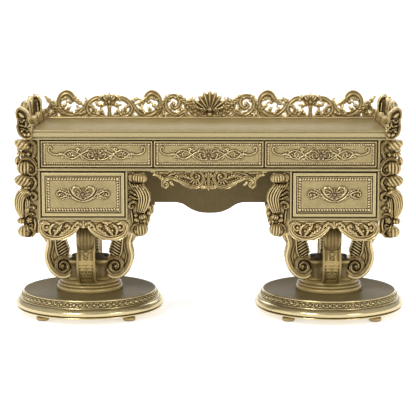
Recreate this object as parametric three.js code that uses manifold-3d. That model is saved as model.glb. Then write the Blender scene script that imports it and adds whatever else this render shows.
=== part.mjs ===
// Kneehole vanity desk on two carved pedestals.
// Millimetres, +Z up, front faces -Y. Origin on the floor, midway between the plinths.
import * as THREE from "three";
import { mergeVertices } from "three/addons/utils/BufferGeometryUtils.js";
import Module from "manifold-3d";

const wasm = await Module();
wasm.setup();

// ---- driving dimensions ----
const CASE_HALF_W = 734; // outer face of the outer sides
const CASE_FRONT = -285;
const CASE_BACK = 285;
const BACK_T = 11.7;
const SIDE_T = 11;
const CASE_BOTTOM = 457;
const BOTTOM_T = 13;
const DECK_Z0 = 671, DECK_Z1 = 683;
const CORNICE_Z = 806; // underside of the top
const TOP_Z = 847; // writing surface
const TOP_HALF_W = 785, TOP_FRONT = -299, TOP_BACK = 291;
const FIELD_HALF_W = 744, FIELD_FRONT = -292, FIELD_BACK = 256, FIELD_Z = TOP_Z + 1.5;
const KNEE_HALF_W = 347; // outer face of the inner sides
const PED_X = 540.5; // pedestal centre
const DIVIDER_X = 238, DIVIDER_T = 12;
const GAP = 0.3;
const PLINTH_TOP = 104, FOOT_H = 26;
const PLINTH_R = 336;
const FOOT_X = 190, FOOT_Y = 215;
const GALLERY_TOP = 983;
const SIDE_GALLERY_X = 752, SIDE_GALLERY_T = 74;

const GOLD = 0xb9a56b, GOLD_DARK = 0x9c8247, GOLD_LIGHT = 0xcdb97c, BRONZE = 0x7d6350, WOOD = 0xb9925e;
const mats = {
  gold: new THREE.MeshStandardMaterial({ color: GOLD, roughness: 0.38, metalness: 0.55 }),
  carved: new THREE.MeshStandardMaterial({ color: GOLD_LIGHT, roughness: 0.34, metalness: 0.65 }),
  dark: new THREE.MeshStandardMaterial({ color: GOLD_DARK, roughness: 0.45, metalness: 0.5 }),
  pull: new THREE.MeshStandardMaterial({ color: BRONZE, roughness: 0.35, metalness: 0.7 }),
  wood: new THREE.MeshStandardMaterial({ color: WOOD, roughness: 0.6, metalness: 0 }),
};

const desk = new THREE.Group();

// ---- helpers ----
function add(name, geometry, material, place) {
  const m = new THREE.Mesh(geometry, mats[material]);
  m.name = name;
  if (place) place(m);
  desk.add(m);
  return m;
}
function boxGeo(x0, x1, y0, y1, z0, z1) {
  const g = new THREE.BoxGeometry(x1 - x0, y1 - y0, z1 - z0);
  g.translate((x0 + x1) / 2, (y0 + y1) / 2, (z0 + z1) / 2);
  return g;
}
function shapeOf(points, turn = 1) {
  const pts = points.map(([x, y]) => new THREE.Vector2(x, y));
  if (THREE.ShapeUtils.area(pts) * turn < 0) pts.reverse();
  return turn > 0 ? new THREE.Shape(pts) : new THREE.Path(pts);
}
// Outline in (x, z), solid between y0 and y1.
function plateXZ(points, y0, y1, holes = []) {
  const s = shapeOf(points);
  holes.forEach((h) => s.holes.push(shapeOf(h, -1)));
  const g = new THREE.ExtrudeGeometry(s, { depth: y1 - y0, bevelEnabled: false, steps: 1 });
  g.rotateX(Math.PI / 2);
  g.translate(0, y1, 0);
  return g;
}
// Outline in (r, z), turned round the vertical axis.
function turned(profile, segments) {
  const g = new THREE.LatheGeometry(profile.map(([r, z]) => new THREE.Vector2(r, z)), segments);
  g.rotateX(Math.PI / 2);
  return g;
}
function solid(geometry) {
  const g = geometry.clone();
  for (const key of Object.keys(g.attributes)) if (key !== "position") g.deleteAttribute(key);
  const merged = mergeVertices(g, 1e-4);
  return new wasm.Manifold(
    new wasm.Mesh({ numProp: 3, vertProperties: merged.attributes.position.array, triVerts: new Uint32Array(merged.index.array) }),
  );
}
function geometryOf(manifold) {
  const m = manifold.getMesh();
  const g = new THREE.BufferGeometry();
  g.setAttribute("position", new THREE.BufferAttribute(new Float32Array(m.vertProperties), 3));
  g.setIndex(new THREE.BufferAttribute(new Uint32Array(m.triVerts), 1));
  const flat = g.toNonIndexed();
  flat.computeVertexNormals();
  return flat;
}
const union = (...gs) => geometryOf(gs.map(solid).reduce((a, b) => a.add(b)));
const cut = (a, ...bs) => geometryOf(bs.map(solid).reduce((s, b) => s.subtract(b), solid(a)));
// A closed smooth line through points, n steps between each pair.
function smooth(points, n, closed = false) {
  const curve = new THREE.CatmullRomCurve3(points.map(([x, y]) => new THREE.Vector3(x, y, 0)), closed, "centripetal");
  const total = (points.length - (closed ? 0 : 1)) * n;
  const out = [];
  for (let i = 0; i < total + (closed ? 0 : 1); i++) {
    const p = curve.getPoint(i / total);
    out.push([p.x, p.y]);
  }
  return out;
}
const arc = (cx, cy, r, a0, a1, n) =>
  Array.from({ length: n + 1 }, (_, i) => {
    const a = ((a0 + ((a1 - a0) * i) / n) * Math.PI) / 180;
    return [cx + r * Math.cos(a), cy + r * Math.sin(a)];
  });
const mirrorX = (pts) => pts.map(([x, z]) => [-x, z]).reverse();

// ---- top: board with moulded front and ends, seen in section at the edge ----
{
  // edge section, offset outwards from the board's core, and height
  const section = [[0, CORNICE_Z], [0, CORNICE_Z + 6], [-3, CORNICE_Z + 8], [-1.5, CORNICE_Z + 12], [1, CORNICE_Z + 22], [4, CORNICE_Z + 30], [2, CORNICE_Z + 33], [4, CORNICE_Z + 35], [5, CORNICE_Z + 38], [3, TOP_Z]];
  const rings = section.map(([o, z]) => [
    [-TOP_HALF_W + 5 - o, TOP_FRONT + 5 - o, z],
    [TOP_HALF_W - 5 + o, TOP_FRONT + 5 - o, z],
    [TOP_HALF_W - 5 + o, TOP_BACK, z],
    [-TOP_HALF_W + 5 - o, TOP_BACK, z],
  ]);
  const v = rings.flat().flat();
  const idx = [];
  const n = rings.length;
  for (let i = 0; i < n - 1; i++)
    for (let k = 0; k < 4; k++) {
      const a = i * 4 + k, b = i * 4 + ((k + 1) % 4), c = a + 4, d = b + 4;
      idx.push(a, b, d, a, d, c);
    }
  idx.push(0, 2, 1, 0, 3, 2);
  const t = (n - 1) * 4;
  idx.push(t, t + 1, t + 2, t, t + 2, t + 3);
  const g = new THREE.BufferGeometry();
  g.setAttribute("position", new THREE.BufferAttribute(new Float32Array(v), 3));
  g.setIndex(idx);
  // the writing field stands a little proud, inside the line of the galleries
  add("desktop", union(g, boxGeo(-FIELD_HALF_W, FIELD_HALF_W, FIELD_FRONT, FIELD_BACK, TOP_Z - 2, FIELD_Z)), "gold");
}

// ---- carved gallery round the top ----
{
  // rear gallery: half outline from the centre finial out to one end, mirrored
  const base = TOP_Z + GAP;
  const half = [
    [0, GALLERY_TOP], [14, 978], [30, 968], [44, 955], [58, 944], [74, 950], [92, 938], [118, 940], [140, 954], [164, 957],
    [190, 944], [215, 958], [240, 967], [268, 965], [290, 945], [318, 934], [352, 930], [378, 944], [410, 952], [436, 958],
    [452, 974], [466, 958], [492, 952], [530, 944], [556, 930], [590, 940], [620, 964], [650, 966], [674, 948], [700, 944], [735, 962], [762, 950], [774, 910], [781, 866], [781, base],
  ];
  const outline = [...half, ...half.slice(1).map(([x, z]) => [-x, z]).reverse()];
  const ring = (cx, cz, rx, rz, n = 10) => Array.from({ length: n }, (_, i) => [cx + rx * Math.cos((-2 * Math.PI * i) / n), cz + rz * Math.sin((-2 * Math.PI * i) / n)]);
  const holesHalf = [[112, 884, 17, 12], [172, 915, 34, 22], [258, 915, 36, 26], [322, 873, 20, 9], [410, 905, 32, 22], [500, 905, 32, 22], [556, 873, 20, 9], [620, 912, 38, 24]];
  const holes = holesHalf.flatMap(([x, z, a, b]) => [ring(x, z, a, b), ring(-x, z, a, b)]);
  add("rear_gallery", plateXZ(outline, 262, 284, holes), "carved");

  // side gallery: outline in (y, z); the front end curls down over the corner of the top
  const side = [
    [261.5, base], [261.5, 940], [244, 966], [214, 960], [186, 944], [150, 958], [112, 972], [74, 968], [40, 948], [4, 958],
    [-34, 973], [-76, 972], [-114, 956], [-146, 962], [-182, 970], [-222, 962], [-254, 944], [-282, 930], [-306, 920], [-326, 900],
    [-334, 872], [-333, 840], [-322, 818], [-308, 810], [-299.4, 812], [-299.4, base],
  ];
  const sideGeo = (sign) => {
    const g = new THREE.ExtrudeGeometry(shapeOf(side), { depth: SIDE_GALLERY_T, bevelEnabled: false, steps: 1 });
    // local x -> Y, local y -> Z, extrusion -> X
    g.applyMatrix4(new THREE.Matrix4().makeBasis(new THREE.Vector3(0, 1, 0), new THREE.Vector3(0, 0, 1), new THREE.Vector3(1, 0, 0)));
    g.translate(sign > 0 ? SIDE_GALLERY_X : -SIDE_GALLERY_X - SIDE_GALLERY_T, 0, 0);
    return g;
  };
  add("right_gallery", sideGeo(1), "carved");
  add("left_gallery", sideGeo(-1), "carved");
}

// ---- case ----
const SIDE_Z0 = CASE_BOTTOM + BOTTOM_T + GAP, SIDE_Z1 = CORNICE_Z - GAP;
const SIDE_Y1 = CASE_BACK - BACK_T - GAP;
add("left_outer_side", boxGeo(-CASE_HALF_W, -CASE_HALF_W + SIDE_T, CASE_FRONT, SIDE_Y1, SIDE_Z0, SIDE_Z1), "gold");
add("right_outer_side", boxGeo(CASE_HALF_W - SIDE_T, CASE_HALF_W, CASE_FRONT, SIDE_Y1, SIDE_Z0, SIDE_Z1), "gold");
add("left_inner_side", boxGeo(-KNEE_HALF_W - SIDE_T, -KNEE_HALF_W, CASE_FRONT, SIDE_Y1, SIDE_Z0, DECK_Z0 - GAP), "gold");
add("right_inner_side", boxGeo(KNEE_HALF_W, KNEE_HALF_W + SIDE_T, CASE_FRONT, SIDE_Y1, SIDE_Z0, DECK_Z0 - GAP), "gold");
{
  const w = CASE_HALF_W - SIDE_T - GAP;
  // deck board under the upper drawers with its rounded front bead, and the two dividers standing on it
  const sec = [[SIDE_Y1, DECK_Z0], [SIDE_Y1, DECK_Z1], [CASE_FRONT + 3, DECK_Z1], [CASE_FRONT - 2, DECK_Z1 - 3], [CASE_FRONT - 3, DECK_Z0 + 6], [CASE_FRONT - 2, DECK_Z0 + 3], [CASE_FRONT + 3, DECK_Z0]];
  const g = new THREE.ExtrudeGeometry(shapeOf(sec), { depth: 2 * w, bevelEnabled: false, steps: 1 });
  g.applyMatrix4(new THREE.Matrix4().makeBasis(new THREE.Vector3(0, 1, 0), new THREE.Vector3(0, 0, 1), new THREE.Vector3(1, 0, 0)));
  g.translate(-w, 0, 0);
  const div = (x) => boxGeo(x - DIVIDER_T / 2, x + DIVIDER_T / 2, CASE_FRONT + 26, SIDE_Y1, DECK_Z1 - 2, SIDE_Z1);
  add("drawer_deck", union(g, div(-DIVIDER_X), div(DIVIDER_X)), "gold");
}
add("left_bottom_panel", boxGeo(-CASE_HALF_W, -KNEE_HALF_W, CASE_FRONT, SIDE_Y1, CASE_BOTTOM, CASE_BOTTOM + BOTTOM_T), "gold");
add("right_bottom_panel", boxGeo(KNEE_HALF_W, CASE_HALF_W, CASE_FRONT, SIDE_Y1, CASE_BOTTOM, CASE_BOTTOM + BOTTOM_T), "gold");
add(
  "rear_panel",
  plateXZ([[-CASE_HALF_W, CASE_BOTTOM], [-KNEE_HALF_W, CASE_BOTTOM], [-KNEE_HALF_W, DECK_Z0], [KNEE_HALF_W, DECK_Z0], [KNEE_HALF_W, CASE_BOTTOM], [CASE_HALF_W, CASE_BOTTOM], [CASE_HALF_W, SIDE_Z1], [-CASE_HALF_W, SIDE_Z1]], CASE_BACK - BACK_T, CASE_BACK),
  "dark",
);
// modesty panel: straight at the ends, dropping in a wide ogee in the middle
const MOD_Y0 = 215, MOD_Y1 = 229;
{
  const w = KNEE_HALF_W - GAP;
  const low = smooth([[-155, 463], [-125, 455], [-90, 433], [-50, 417], [0, 413], [50, 417], [90, 433], [125, 455], [155, 463]], 3);
  add("modesty_panel", plateXZ([[-w, 463], ...low, [w, 463], [w, DECK_Z0 - GAP], [-w, DECK_Z0 - GAP]], MOD_Y0, MOD_Y1), "dark");
}

// ---- carved aprons ----
{
  const h = [[0, 583], [22, 592], [44, 596], [78, 597], [110, 604], [142, 622], [166, 626], [186, 606], [206, 601], [222, 622], [234, 648], [247, 654], [247, DECK_Z0 - GAP]];
  add("centre_apron", plateXZ([...h, ...h.slice(1).map(([x, z]) => [-x, z]).reverse()], CASE_FRONT + 2, CASE_FRONT + 20), "carved");
  // one skirt per pedestal: front, two sides and rear of the same scrolled drop
  const halfW = (CASE_HALF_W - KNEE_HALF_W) / 2 - 0.5;
  const TOPZ = CASE_BOTTOM - GAP;
  const drop = [[0, 418], [26, 414], [48, 398], [74, 380], [104, 372], [134, 375], [160, 388], [180, 412], [halfW, 430], [halfW, TOPZ]];
  const outline = [...drop, ...drop.slice(1).map(([x, z]) => [-x, z]).reverse()];
  const y0 = CASE_FRONT + 1, y1 = CASE_BACK - 1, T = 14;
  const sideDrop = [[0, 420], [46, 418], [70, 404], [100, 384], [140, 372], [185, 376], [220, 392], [244, 418], [-y0, 430], [-y0, TOPZ]];
  const sideOut = [...sideDrop, ...sideDrop.slice(1).map(([x, z]) => [-x, z]).reverse()];
  for (const [side, s] of [["left", -1], ["right", 1]]) {
    const board = (x) => {
      const e = new THREE.ExtrudeGeometry(shapeOf(sideOut), { depth: T, bevelEnabled: false, steps: 1 });
      e.applyMatrix4(new THREE.Matrix4().makeBasis(new THREE.Vector3(0, 1, 0), new THREE.Vector3(0, 0, 1), new THREE.Vector3(1, 0, 0)));
      e.translate(x, 0, 0);
      return e;
    };
    const g = union(plateXZ(outline, y0, y0 + T), plateXZ(outline, y1 - T, y1), board(-halfW), board(halfW - T));
    g.translate(s * PED_X, 0, 0);
    add(side + "_apron", g, "carved");
  }
}

// ---- carved corner consoles, set at 45 degrees on the case sides ----
const CONSOLE_W = 70;
const lowerFace = [
  [-10, 388], [10, 386.5], [26, 394], [34, 408], [33, 424], [24, 438], [19, 448], [27, 458], [32, 472], [28, 488],
  [26, 500], [33, 525], [36, 556], [32, 588], [22, 608], [24, 618], [33, 632], [34, 646], [26, 658], [12, 663.5],
];
const upperFace = [
  [14, 668], [26, 676], [33, 692], [32, 710], [22, 724], [20, 734], [27, 742], [25, 754], [20, 762], [26, 772], [33, 784], [30, 798], [16, 805.4],
];
function consoleGeo(full) {
  const face = full ? [...lowerFace, ...upperFace] : lowerFace;
  const top = face[face.length - 1][1];
  const outline = [[-62, 400], [-30, 390], ...face, [-62, top]];
  const g = plateXZ(outline, -CONSOLE_W / 2, CONSOLE_W / 2);
  return g;
}
function placeConsole(name, full, sx, sy, cx, plane) {
  // sx, sy: outward signs of the diagonal; plane: |x| face that it is fixed to, on the side of -sx
  const g = consoleGeo(full);
  g.rotateZ(Math.atan2(sy, sx));
  g.translate(cx, sy < 0 ? CASE_FRONT : CASE_BACK, 0);
  // flat back against the case side, and clear of what stands in front of or behind it
  const big = 400;
  const x0 = sx > 0 ? plane - big : plane;
  const knife = boxGeo(x0, x0 + big, -600, 600, 300, 900);
  const parts = [knife];
  if (sy > 0) parts.push(boxGeo(cx - 200, cx + 200, 0, 235, 300, 900));
  else parts.push(boxGeo(cx - 200, cx + 200, -235, 0, 300, 900));
  add(name, cut(g, ...parts), "carved");
}
const OUT_C = CASE_HALF_W + 50.2, IN_C = KNEE_HALF_W - 50.2;
for (const [row, sy] of [["front", -1], ["rear", 1]]) {
  placeConsole("left_outer_" + row + "_column", true, -1, sy, -OUT_C, -CASE_HALF_W - GAP);
  placeConsole("right_outer_" + row + "_column", true, 1, sy, OUT_C, CASE_HALF_W + GAP);
  placeConsole("left_inner_" + row + "_column", false, 1, sy, -IN_C, -KNEE_HALF_W + GAP);
  placeConsole("right_inner_" + row + "_column", false, -1, sy, IN_C, KNEE_HALF_W - GAP);
}

// ---- scroll legs, hub and plinth of each pedestal ----
const LEG_W = 80;
const legOutline = [
  [130, 456.7], [172, 456.7], [174, 416],
  ...smooth([[186, 405], [197, 380], [198, 350], [190, 322], [188, 300], [195, 262], [190, 228], [176, 196], [156, 170], [134, 157], [114, 153.4], [94, 158], [78, 172], [71, 194], [71, 216], [78, 236], [90, 252]], 2),
  ...smooth([[86, 270], [88, 290], [99, 312], [108, 340], [116, 372], [122, 410]], 2),
];
const footProfile = [[0, 0], [20, 0], [28, 7], [28, 16], [20, FOOT_H - GAP], [0, FOOT_H - GAP]];
const plinthProfile = [
  [0, FOOT_H], [328, FOOT_H], [329, 32], [327, 36], [334, 41], [PLINTH_R, 48], [334, 56], [326, 65],
  [310, 72], [308, 78], [300, 95], [296, 99], [295, 103], [291, PLINTH_TOP], [0, PLINTH_TOP],
];
const hubProfile = [
  [0, PLINTH_TOP + GAP], [146, PLINTH_TOP + GAP], [146, 121], [141, 124], [141, 132], [127, 139], [124, 147], [116, 152.8], [66, 152.8], [66, 244], [54, 262], [0, 270],
];
for (const [side, s] of [["left", -1], ["right", 1]]) {
  const cx = s * PED_X;
  for (const [which, angle] of [["front", -90], ["rear", 90], ["outer", s < 0 ? 180 : 0], ["inner", s < 0 ? 0 : 180]]) {
    const g = plateXZ(legOutline, -LEG_W / 2, LEG_W / 2);
    g.rotateZ((angle * Math.PI) / 180);
    g.translate(cx, 0, 0);
    add(`${side}_${which}_leg`, g, "carved");
  }
  add(side + "_hub", turned(hubProfile, 24), "carved", (m) => m.position.set(cx, 0, 0));
  add(side + "_plinth", turned(plinthProfile, 48), "gold", (m) => m.position.set(cx, 0, 0));
  for (const [fb, sy] of [["front", -1], ["rear", 1]])
    for (const [lr, sx] of [["outer", s], ["inner", -s]])
      add(`${side}_${fb}_${lr}_foot`, turned(footProfile, 12), "dark", (m) => m.position.set(cx + sx * FOOT_X, sy * FOOT_Y, 0));
}

// ---- drawers ----
const FRONT_T = 20;
const UP_Z0 = 688, UP_Z1 = 800, LOW_Z0 = 473, LOW_Z1 = 665;
const drawers = [
  ["upper_left", -720, -240.5, UP_Z0, UP_Z1, 0],
  ["upper_centre", -235.5, 235.5, UP_Z0, UP_Z1, 0],
  ["upper_right", 240.5, 720, UP_Z0, UP_Z1, 0],
  ["lower_left", -720, -361, LOW_Z0, LOW_Z1, 1],
  ["lower_right", 361, 720, LOW_Z0, LOW_Z1, 1],
];
const TRAY_Y1 = 195, WALL = 11, FLOOR = 7;
const UP_KNOB_Z = 741, LOW_KNOB_Z = 571;
for (const [name, x0, x1, z0, z1, low] of drawers) {
  const yf = CASE_FRONT - 2, yb = yf + FRONT_T;
  // front: slab with a raised frame moulding
  const rim = low ? 14 : 8;
  const slab = boxGeo(x0, x1, yf + 6, yb, z0, z1);
  const frame = cut(boxGeo(x0, x1, yf, yf + 7, z0, z1), boxGeo(x0 + rim, x1 - rim, yf - 5, yf + 20, z0 + rim, z1 - rim));
  // tray: floor, two sides and a back, open on top
  const tx0 = name === "upper_centre" ? -228 : Math.max(x0, -716) + (x0 > 0 && !low ? 8 : low && x0 > 0 ? 4 : 0);
  const tx1 = name === "upper_centre" ? 228 : Math.min(x1, 716) - (x1 < 0 && !low ? 8 : low && x1 < 0 ? 4 : 0);
  const tz0 = low ? CASE_BOTTOM + BOTTOM_T + 1.5 : DECK_Z1 + 1.5;
  const tz1 = z1 - (low ? 30 : 18);
  const outer = boxGeo(tx0, tx1, yb + GAP, TRAY_Y1, tz0, tz1);
  const inner = boxGeo(tx0 + WALL, tx1 - WALL, yb - 40, TRAY_Y1 - WALL, tz0 + FLOOR, tz1 + 40);
  // the front wall of the tray closes the box behind the drawer front
  const wall = boxGeo(tx0 + 1, tx1 - 1, yb + GAP, yb + GAP + 9, tz0, tz1);
  add(name + "_drawer_tray", geometryOf(solid(outer).subtract(solid(inner)).add(solid(wall))), "wood");
  // carved spray on the field of the front, and a flower knob at its middle
  const cx = (x0 + x1) / 2, cz = low ? LOW_KNOB_Z : UP_KNOB_Z;
  const L = low ? 122 : 208, H = low ? 26 : 22;
  const half = low
    ? [[0, H + 6], [26, H + 8], [44, H - 2], [60, 4], [84, 10], [106, 12], [L, 2], [108, -12], [80, -6], [56, -14], [30, -22], [0, -26]]
    : [[0, H + 4], [24, H], [50, 8], [84, 18], [110, 10], [150, 6], [186, 2], [204, 16], [L, 8], [190, -8], [150, -8], [110, -16], [84, -20], [50, -12], [24, -20], [0, -24]];
  const spray = plateXZ([...half, ...half.slice(1, -1).map(([x, z]) => [-x, z]).reverse()], yf + 1, yf + 8);
  spray.translate(cx, 0, cz);
  add(name + "_drawer_front", union(slab, frame, spray), "gold");
  const kr = low ? 17.5 : 15;
  const knob = new THREE.LatheGeometry([[0, 0], [0.5 * kr, 0], [0.42 * kr, 6], [0.62 * kr, 9], [kr, 14], [0.86 * kr, 20], [0.4 * kr, 24], [0, 25]].map(([r, y]) => new THREE.Vector2(r, y)), 12);
  knob.rotateX(Math.PI);
  knob.translate(cx, yf + 1 - GAP, cz);
  add(name + "_drawer_knob", knob, "pull");
}

export default desk;
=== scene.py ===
import bpy, math
import numpy as np
from mathutils import Vector, Matrix


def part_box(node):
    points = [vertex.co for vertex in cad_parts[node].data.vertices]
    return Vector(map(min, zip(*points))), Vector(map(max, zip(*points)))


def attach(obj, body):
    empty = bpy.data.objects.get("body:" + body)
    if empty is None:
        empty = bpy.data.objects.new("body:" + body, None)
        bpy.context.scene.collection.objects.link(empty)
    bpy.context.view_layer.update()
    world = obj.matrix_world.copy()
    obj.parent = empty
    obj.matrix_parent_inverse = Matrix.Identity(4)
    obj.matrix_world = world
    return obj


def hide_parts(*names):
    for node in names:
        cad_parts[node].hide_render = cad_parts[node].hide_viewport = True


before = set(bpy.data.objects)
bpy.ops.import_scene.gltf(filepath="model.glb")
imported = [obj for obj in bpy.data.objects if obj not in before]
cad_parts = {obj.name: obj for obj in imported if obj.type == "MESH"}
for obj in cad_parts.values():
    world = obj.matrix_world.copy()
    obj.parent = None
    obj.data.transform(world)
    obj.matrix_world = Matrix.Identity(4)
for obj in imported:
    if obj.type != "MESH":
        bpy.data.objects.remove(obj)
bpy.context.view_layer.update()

RNG = np.random.default_rng(7)
PI = math.pi

# ----------------------------------------------------------------------------
# materials
# ----------------------------------------------------------------------------
def _nodes(name):
    m = bpy.data.materials.new(name)
    m.use_nodes = True
    nt = m.node_tree
    nt.nodes.clear()
    out = nt.nodes.new("ShaderNodeOutputMaterial")
    b = nt.nodes.new("ShaderNodeBsdfPrincipled")
    nt.links.new(b.outputs[0], out.inputs[0])
    return m, nt, b


def _n(nt, kind, **kw):
    n = nt.nodes.new(kind)
    for k, v in kw.items():
        setattr(n, k, v)
    return n


def _ramp(nt, stops, interp="LINEAR"):
    r = nt.nodes.new("ShaderNodeValToRGB")
    r.color_ramp.interpolation = interp
    e = r.color_ramp.elements
    while len(e) > 1:
        e.remove(e[-1])
    e[0].position, e[0].color = stops[0][0], (*stops[0][1], 1)
    for p, c in stops[1:]:
        q = e.new(p)
        q.color = (*c, 1)
    return r


def _noise(nt, scale, detail=3.0, rough=0.55, stretch=None):
    tc = _n(nt, "ShaderNodeTexCoord")
    src = tc.outputs["Object"]
    if stretch:
        mp = _n(nt, "ShaderNodeMapping")
        mp.inputs["Scale"].default_value = stretch
        nt.links.new(src, mp.inputs["Vector"])
        src = mp.outputs[0]
    n = _n(nt, "ShaderNodeTexNoise")
    n.inputs["Scale"].default_value = scale
    n.inputs["Detail"].default_value = detail
    n.inputs["Roughness"].default_value = rough
    nt.links.new(src, n.inputs["Vector"])
    return n.outputs["Fac"]


def _math(nt, op, a, b=None, clamp=False):
    m = _n(nt, "ShaderNodeMath", operation=op, use_clamp=clamp)
    for i, v in enumerate((a, b)):
        if v is None:
            continue
        if isinstance(v, (int, float)):
            m.inputs[i].default_value = v
        else:
            nt.links.new(v, m.inputs[i])
    return m.outputs[0]


def _maprange(nt, v, a, b, c, d):
    m = _n(nt, "ShaderNodeMapRange")
    nt.links.new(v, m.inputs["Value"])
    for k, x in zip(("From Min", "From Max", "To Min", "To Max"), (a, b, c, d)):
        m.inputs[k].default_value = x
    return m.outputs[0]


def gold(name, dark, mid, light, metal, r_lo, r_hi, cav_gain=1.0, bump=0.15, grain=900.0, stretch=None, ao=True,
         streak=0.0, coat=0.0, ao_dist=0.02):
    """Lacquered antique gold: brown glaze left in the hollows, rubbed bright on the high points; with ao on, painted
    shade from an ambient-occlusion node also darkens the colour in recesses and between parts.
    """
    m, nt, b = _nodes(name)
    att = _n(nt, "ShaderNodeAttribute", attribute_name="cav")
    cav = att.outputs["Fac"]  # 0.5 flat, below hollow, above proud
    n1 = _noise(nt, 11.0, 4.0, 0.6)
    n2 = _noise(nt, 70.0, 4.0, 0.6)
    n3 = _noise(nt, grain, 2.0, 0.5, stretch)
    v = _math(nt, "MULTIPLY", _math(nt, "SUBTRACT", cav, 0.5), cav_gain)
    v = _math(nt, "ADD", v, 0.5)
    v = _math(nt, "ADD", v, _math(nt, "MULTIPLY", _math(nt, "SUBTRACT", n1, 0.5), 0.20))
    v = _math(nt, "ADD", v, _math(nt, "MULTIPLY", _math(nt, "SUBTRACT", n2, 0.5), 0.22))
    v = _math(nt, "ADD", v, _math(nt, "MULTIPLY", _math(nt, "SUBTRACT", n3, 0.5), 0.16 + streak))
    # painted shade: the ambient-occlusion factor darkens the base colour and raises roughness where nearby parts crowd
    # in
    if ao:
        a = _n(nt, "ShaderNodeAmbientOcclusion", samples=6)
        a.inputs["Distance"].default_value = ao_dist
        o = _maprange(nt, a.outputs["AO"], 0.15, 0.90, -0.38, 0.02)
        v = _math(nt, "ADD", v, o)
    ramp = _ramp(nt, [(0.0, dark), (0.30, tuple(0.5 * x + 0.5 * y for x, y in zip(dark, mid))), (0.50, mid), (0.74, light), (1.0, tuple(min(1, x * 1.12) for x in light))])
    nt.links.new(v, ramp.inputs[0])
    nt.links.new(ramp.outputs[0], b.inputs["Base Color"])
    b.inputs["Metallic"].default_value = metal
    r = _maprange(nt, v, 0.1, 0.9, r_hi, r_lo)
    nt.links.new(r, b.inputs["Roughness"])
    if coat:
        b.inputs["Coat Weight"].default_value = coat
        b.inputs["Coat Roughness"].default_value = 0.12
    bm = _n(nt, "ShaderNodeBump")
    bm.inputs["Strength"].default_value = bump
    bm.inputs["Distance"].default_value = 0.0008
    h = _math(nt, "ADD", _math(nt, "MULTIPLY", n3, 0.5), _math(nt, "MULTIPLY", n2, 0.5))
    nt.links.new(h, bm.inputs["Height"])
    nt.links.new(bm.outputs[0], b.inputs["Normal"])
    return m


DARK = (0.070, 0.040, 0.012)
M_CARVED = gold("antique_gold_carved", DARK, (0.285, 0.202, 0.078), (0.58, 0.46, 0.235), 0.72, 0.29, 0.52, 1.2, 0.18, ao_dist=0.014)
M_PANEL = gold("antique_gold_panel", (0.075, 0.044, 0.014), (0.282, 0.219, 0.096), (0.48, 0.388, 0.195), 0.60, 0.34, 0.50, 0.95, 0.25, 1300.0, ao_dist=0.010)
M_FLAT = gold("antique_gold_board", (0.060, 0.036, 0.012), (0.215, 0.158, 0.062), (0.36, 0.28, 0.13), 0.60, 0.34, 0.48, 0.8, 0.2, 420.0, (0.12, 1, 1), ao_dist=0.03)
M_TOP = gold("antique_gold_top", (0.090, 0.060, 0.020), (0.196, 0.142, 0.054), (0.28, 0.21, 0.088), 0.0, 0.42, 0.55, 0.9, 0.05, 26.0, (1, 0.10, 1), ao=False, streak=0.30)
M_TOP.node_tree.nodes["Principled BSDF"].inputs["Specular IOR Level"].default_value = 0.035
M_EDGE = gold("antique_gold_moulding", (0.050, 0.030, 0.010), (0.160, 0.124, 0.054), (0.31, 0.25, 0.125), 0.60, 0.26, 0.40, 1.2, 0.10, 420.0, (0.12, 1, 1), ao_dist=0.012)
M_PLINTH = gold("antique_gold_plinth", (0.060, 0.036, 0.012), (0.300, 0.230, 0.102), (0.60, 0.50, 0.28), 0.76, 0.20, 0.34, 1.4, 0.06, 500.0, ao_dist=0.014)
M_PTOP = gold("antique_gold_plinth_top", (0.080, 0.058, 0.026), (0.178, 0.134, 0.055), (0.240, 0.185, 0.080), 0.0, 0.34, 0.46, 0.0, 0.05, 60.0)
M_PTOP.node_tree.nodes["Principled BSDF"].inputs["Specular IOR Level"].default_value = 0.03
# painted shade: a darker, less metallic copy of the board gold for the rear and modesty panels, which stand back in the
# shade of the kneehole
M_PANEL_SHADED = gold("painted_shade_gold_panel", (0.035, 0.020, 0.006), (0.142, 0.098, 0.027), (0.20, 0.148, 0.052), 0.35, 0.40, 0.55, 0.8, 0.2, 300.0, (1, 1, 0.15))
M_BRONZE = gold("aged_bronze_rosette", (0.020, 0.012, 0.010), (0.070, 0.043, 0.022), (0.24, 0.165, 0.09), 0.70, 0.22, 0.46, 1.4, 0.2)
M_HUB = gold("antique_gold_hub", (0.150, 0.100, 0.034), (0.205, 0.138, 0.039), (0.41, 0.305, 0.12), 0.30, 0.32, 0.50, 0.8, 0.10, ao=False)
# painted shade: a dark, matt copy of the hub gold for the hub's upward faces, which lie in shade under the case
M_SHADE = gold("painted_shade_hub_top", (0.030, 0.020, 0.008), (0.075, 0.055, 0.024), (0.12, 0.09, 0.04), 0.0, 0.50, 0.62, 0.8, 0.10)
for m_ in (M_PTOP, M_SHADE, M_HUB):
    if not m_.node_tree.nodes["Principled BSDF"].inputs["Coat Weight"].is_linked:
        m_.node_tree.nodes["Principled BSDF"].inputs["Coat Weight"].default_value = 0.0
M_SHADE.node_tree.nodes["Principled BSDF"].inputs["Specular IOR Level"].default_value = 0.02
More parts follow.
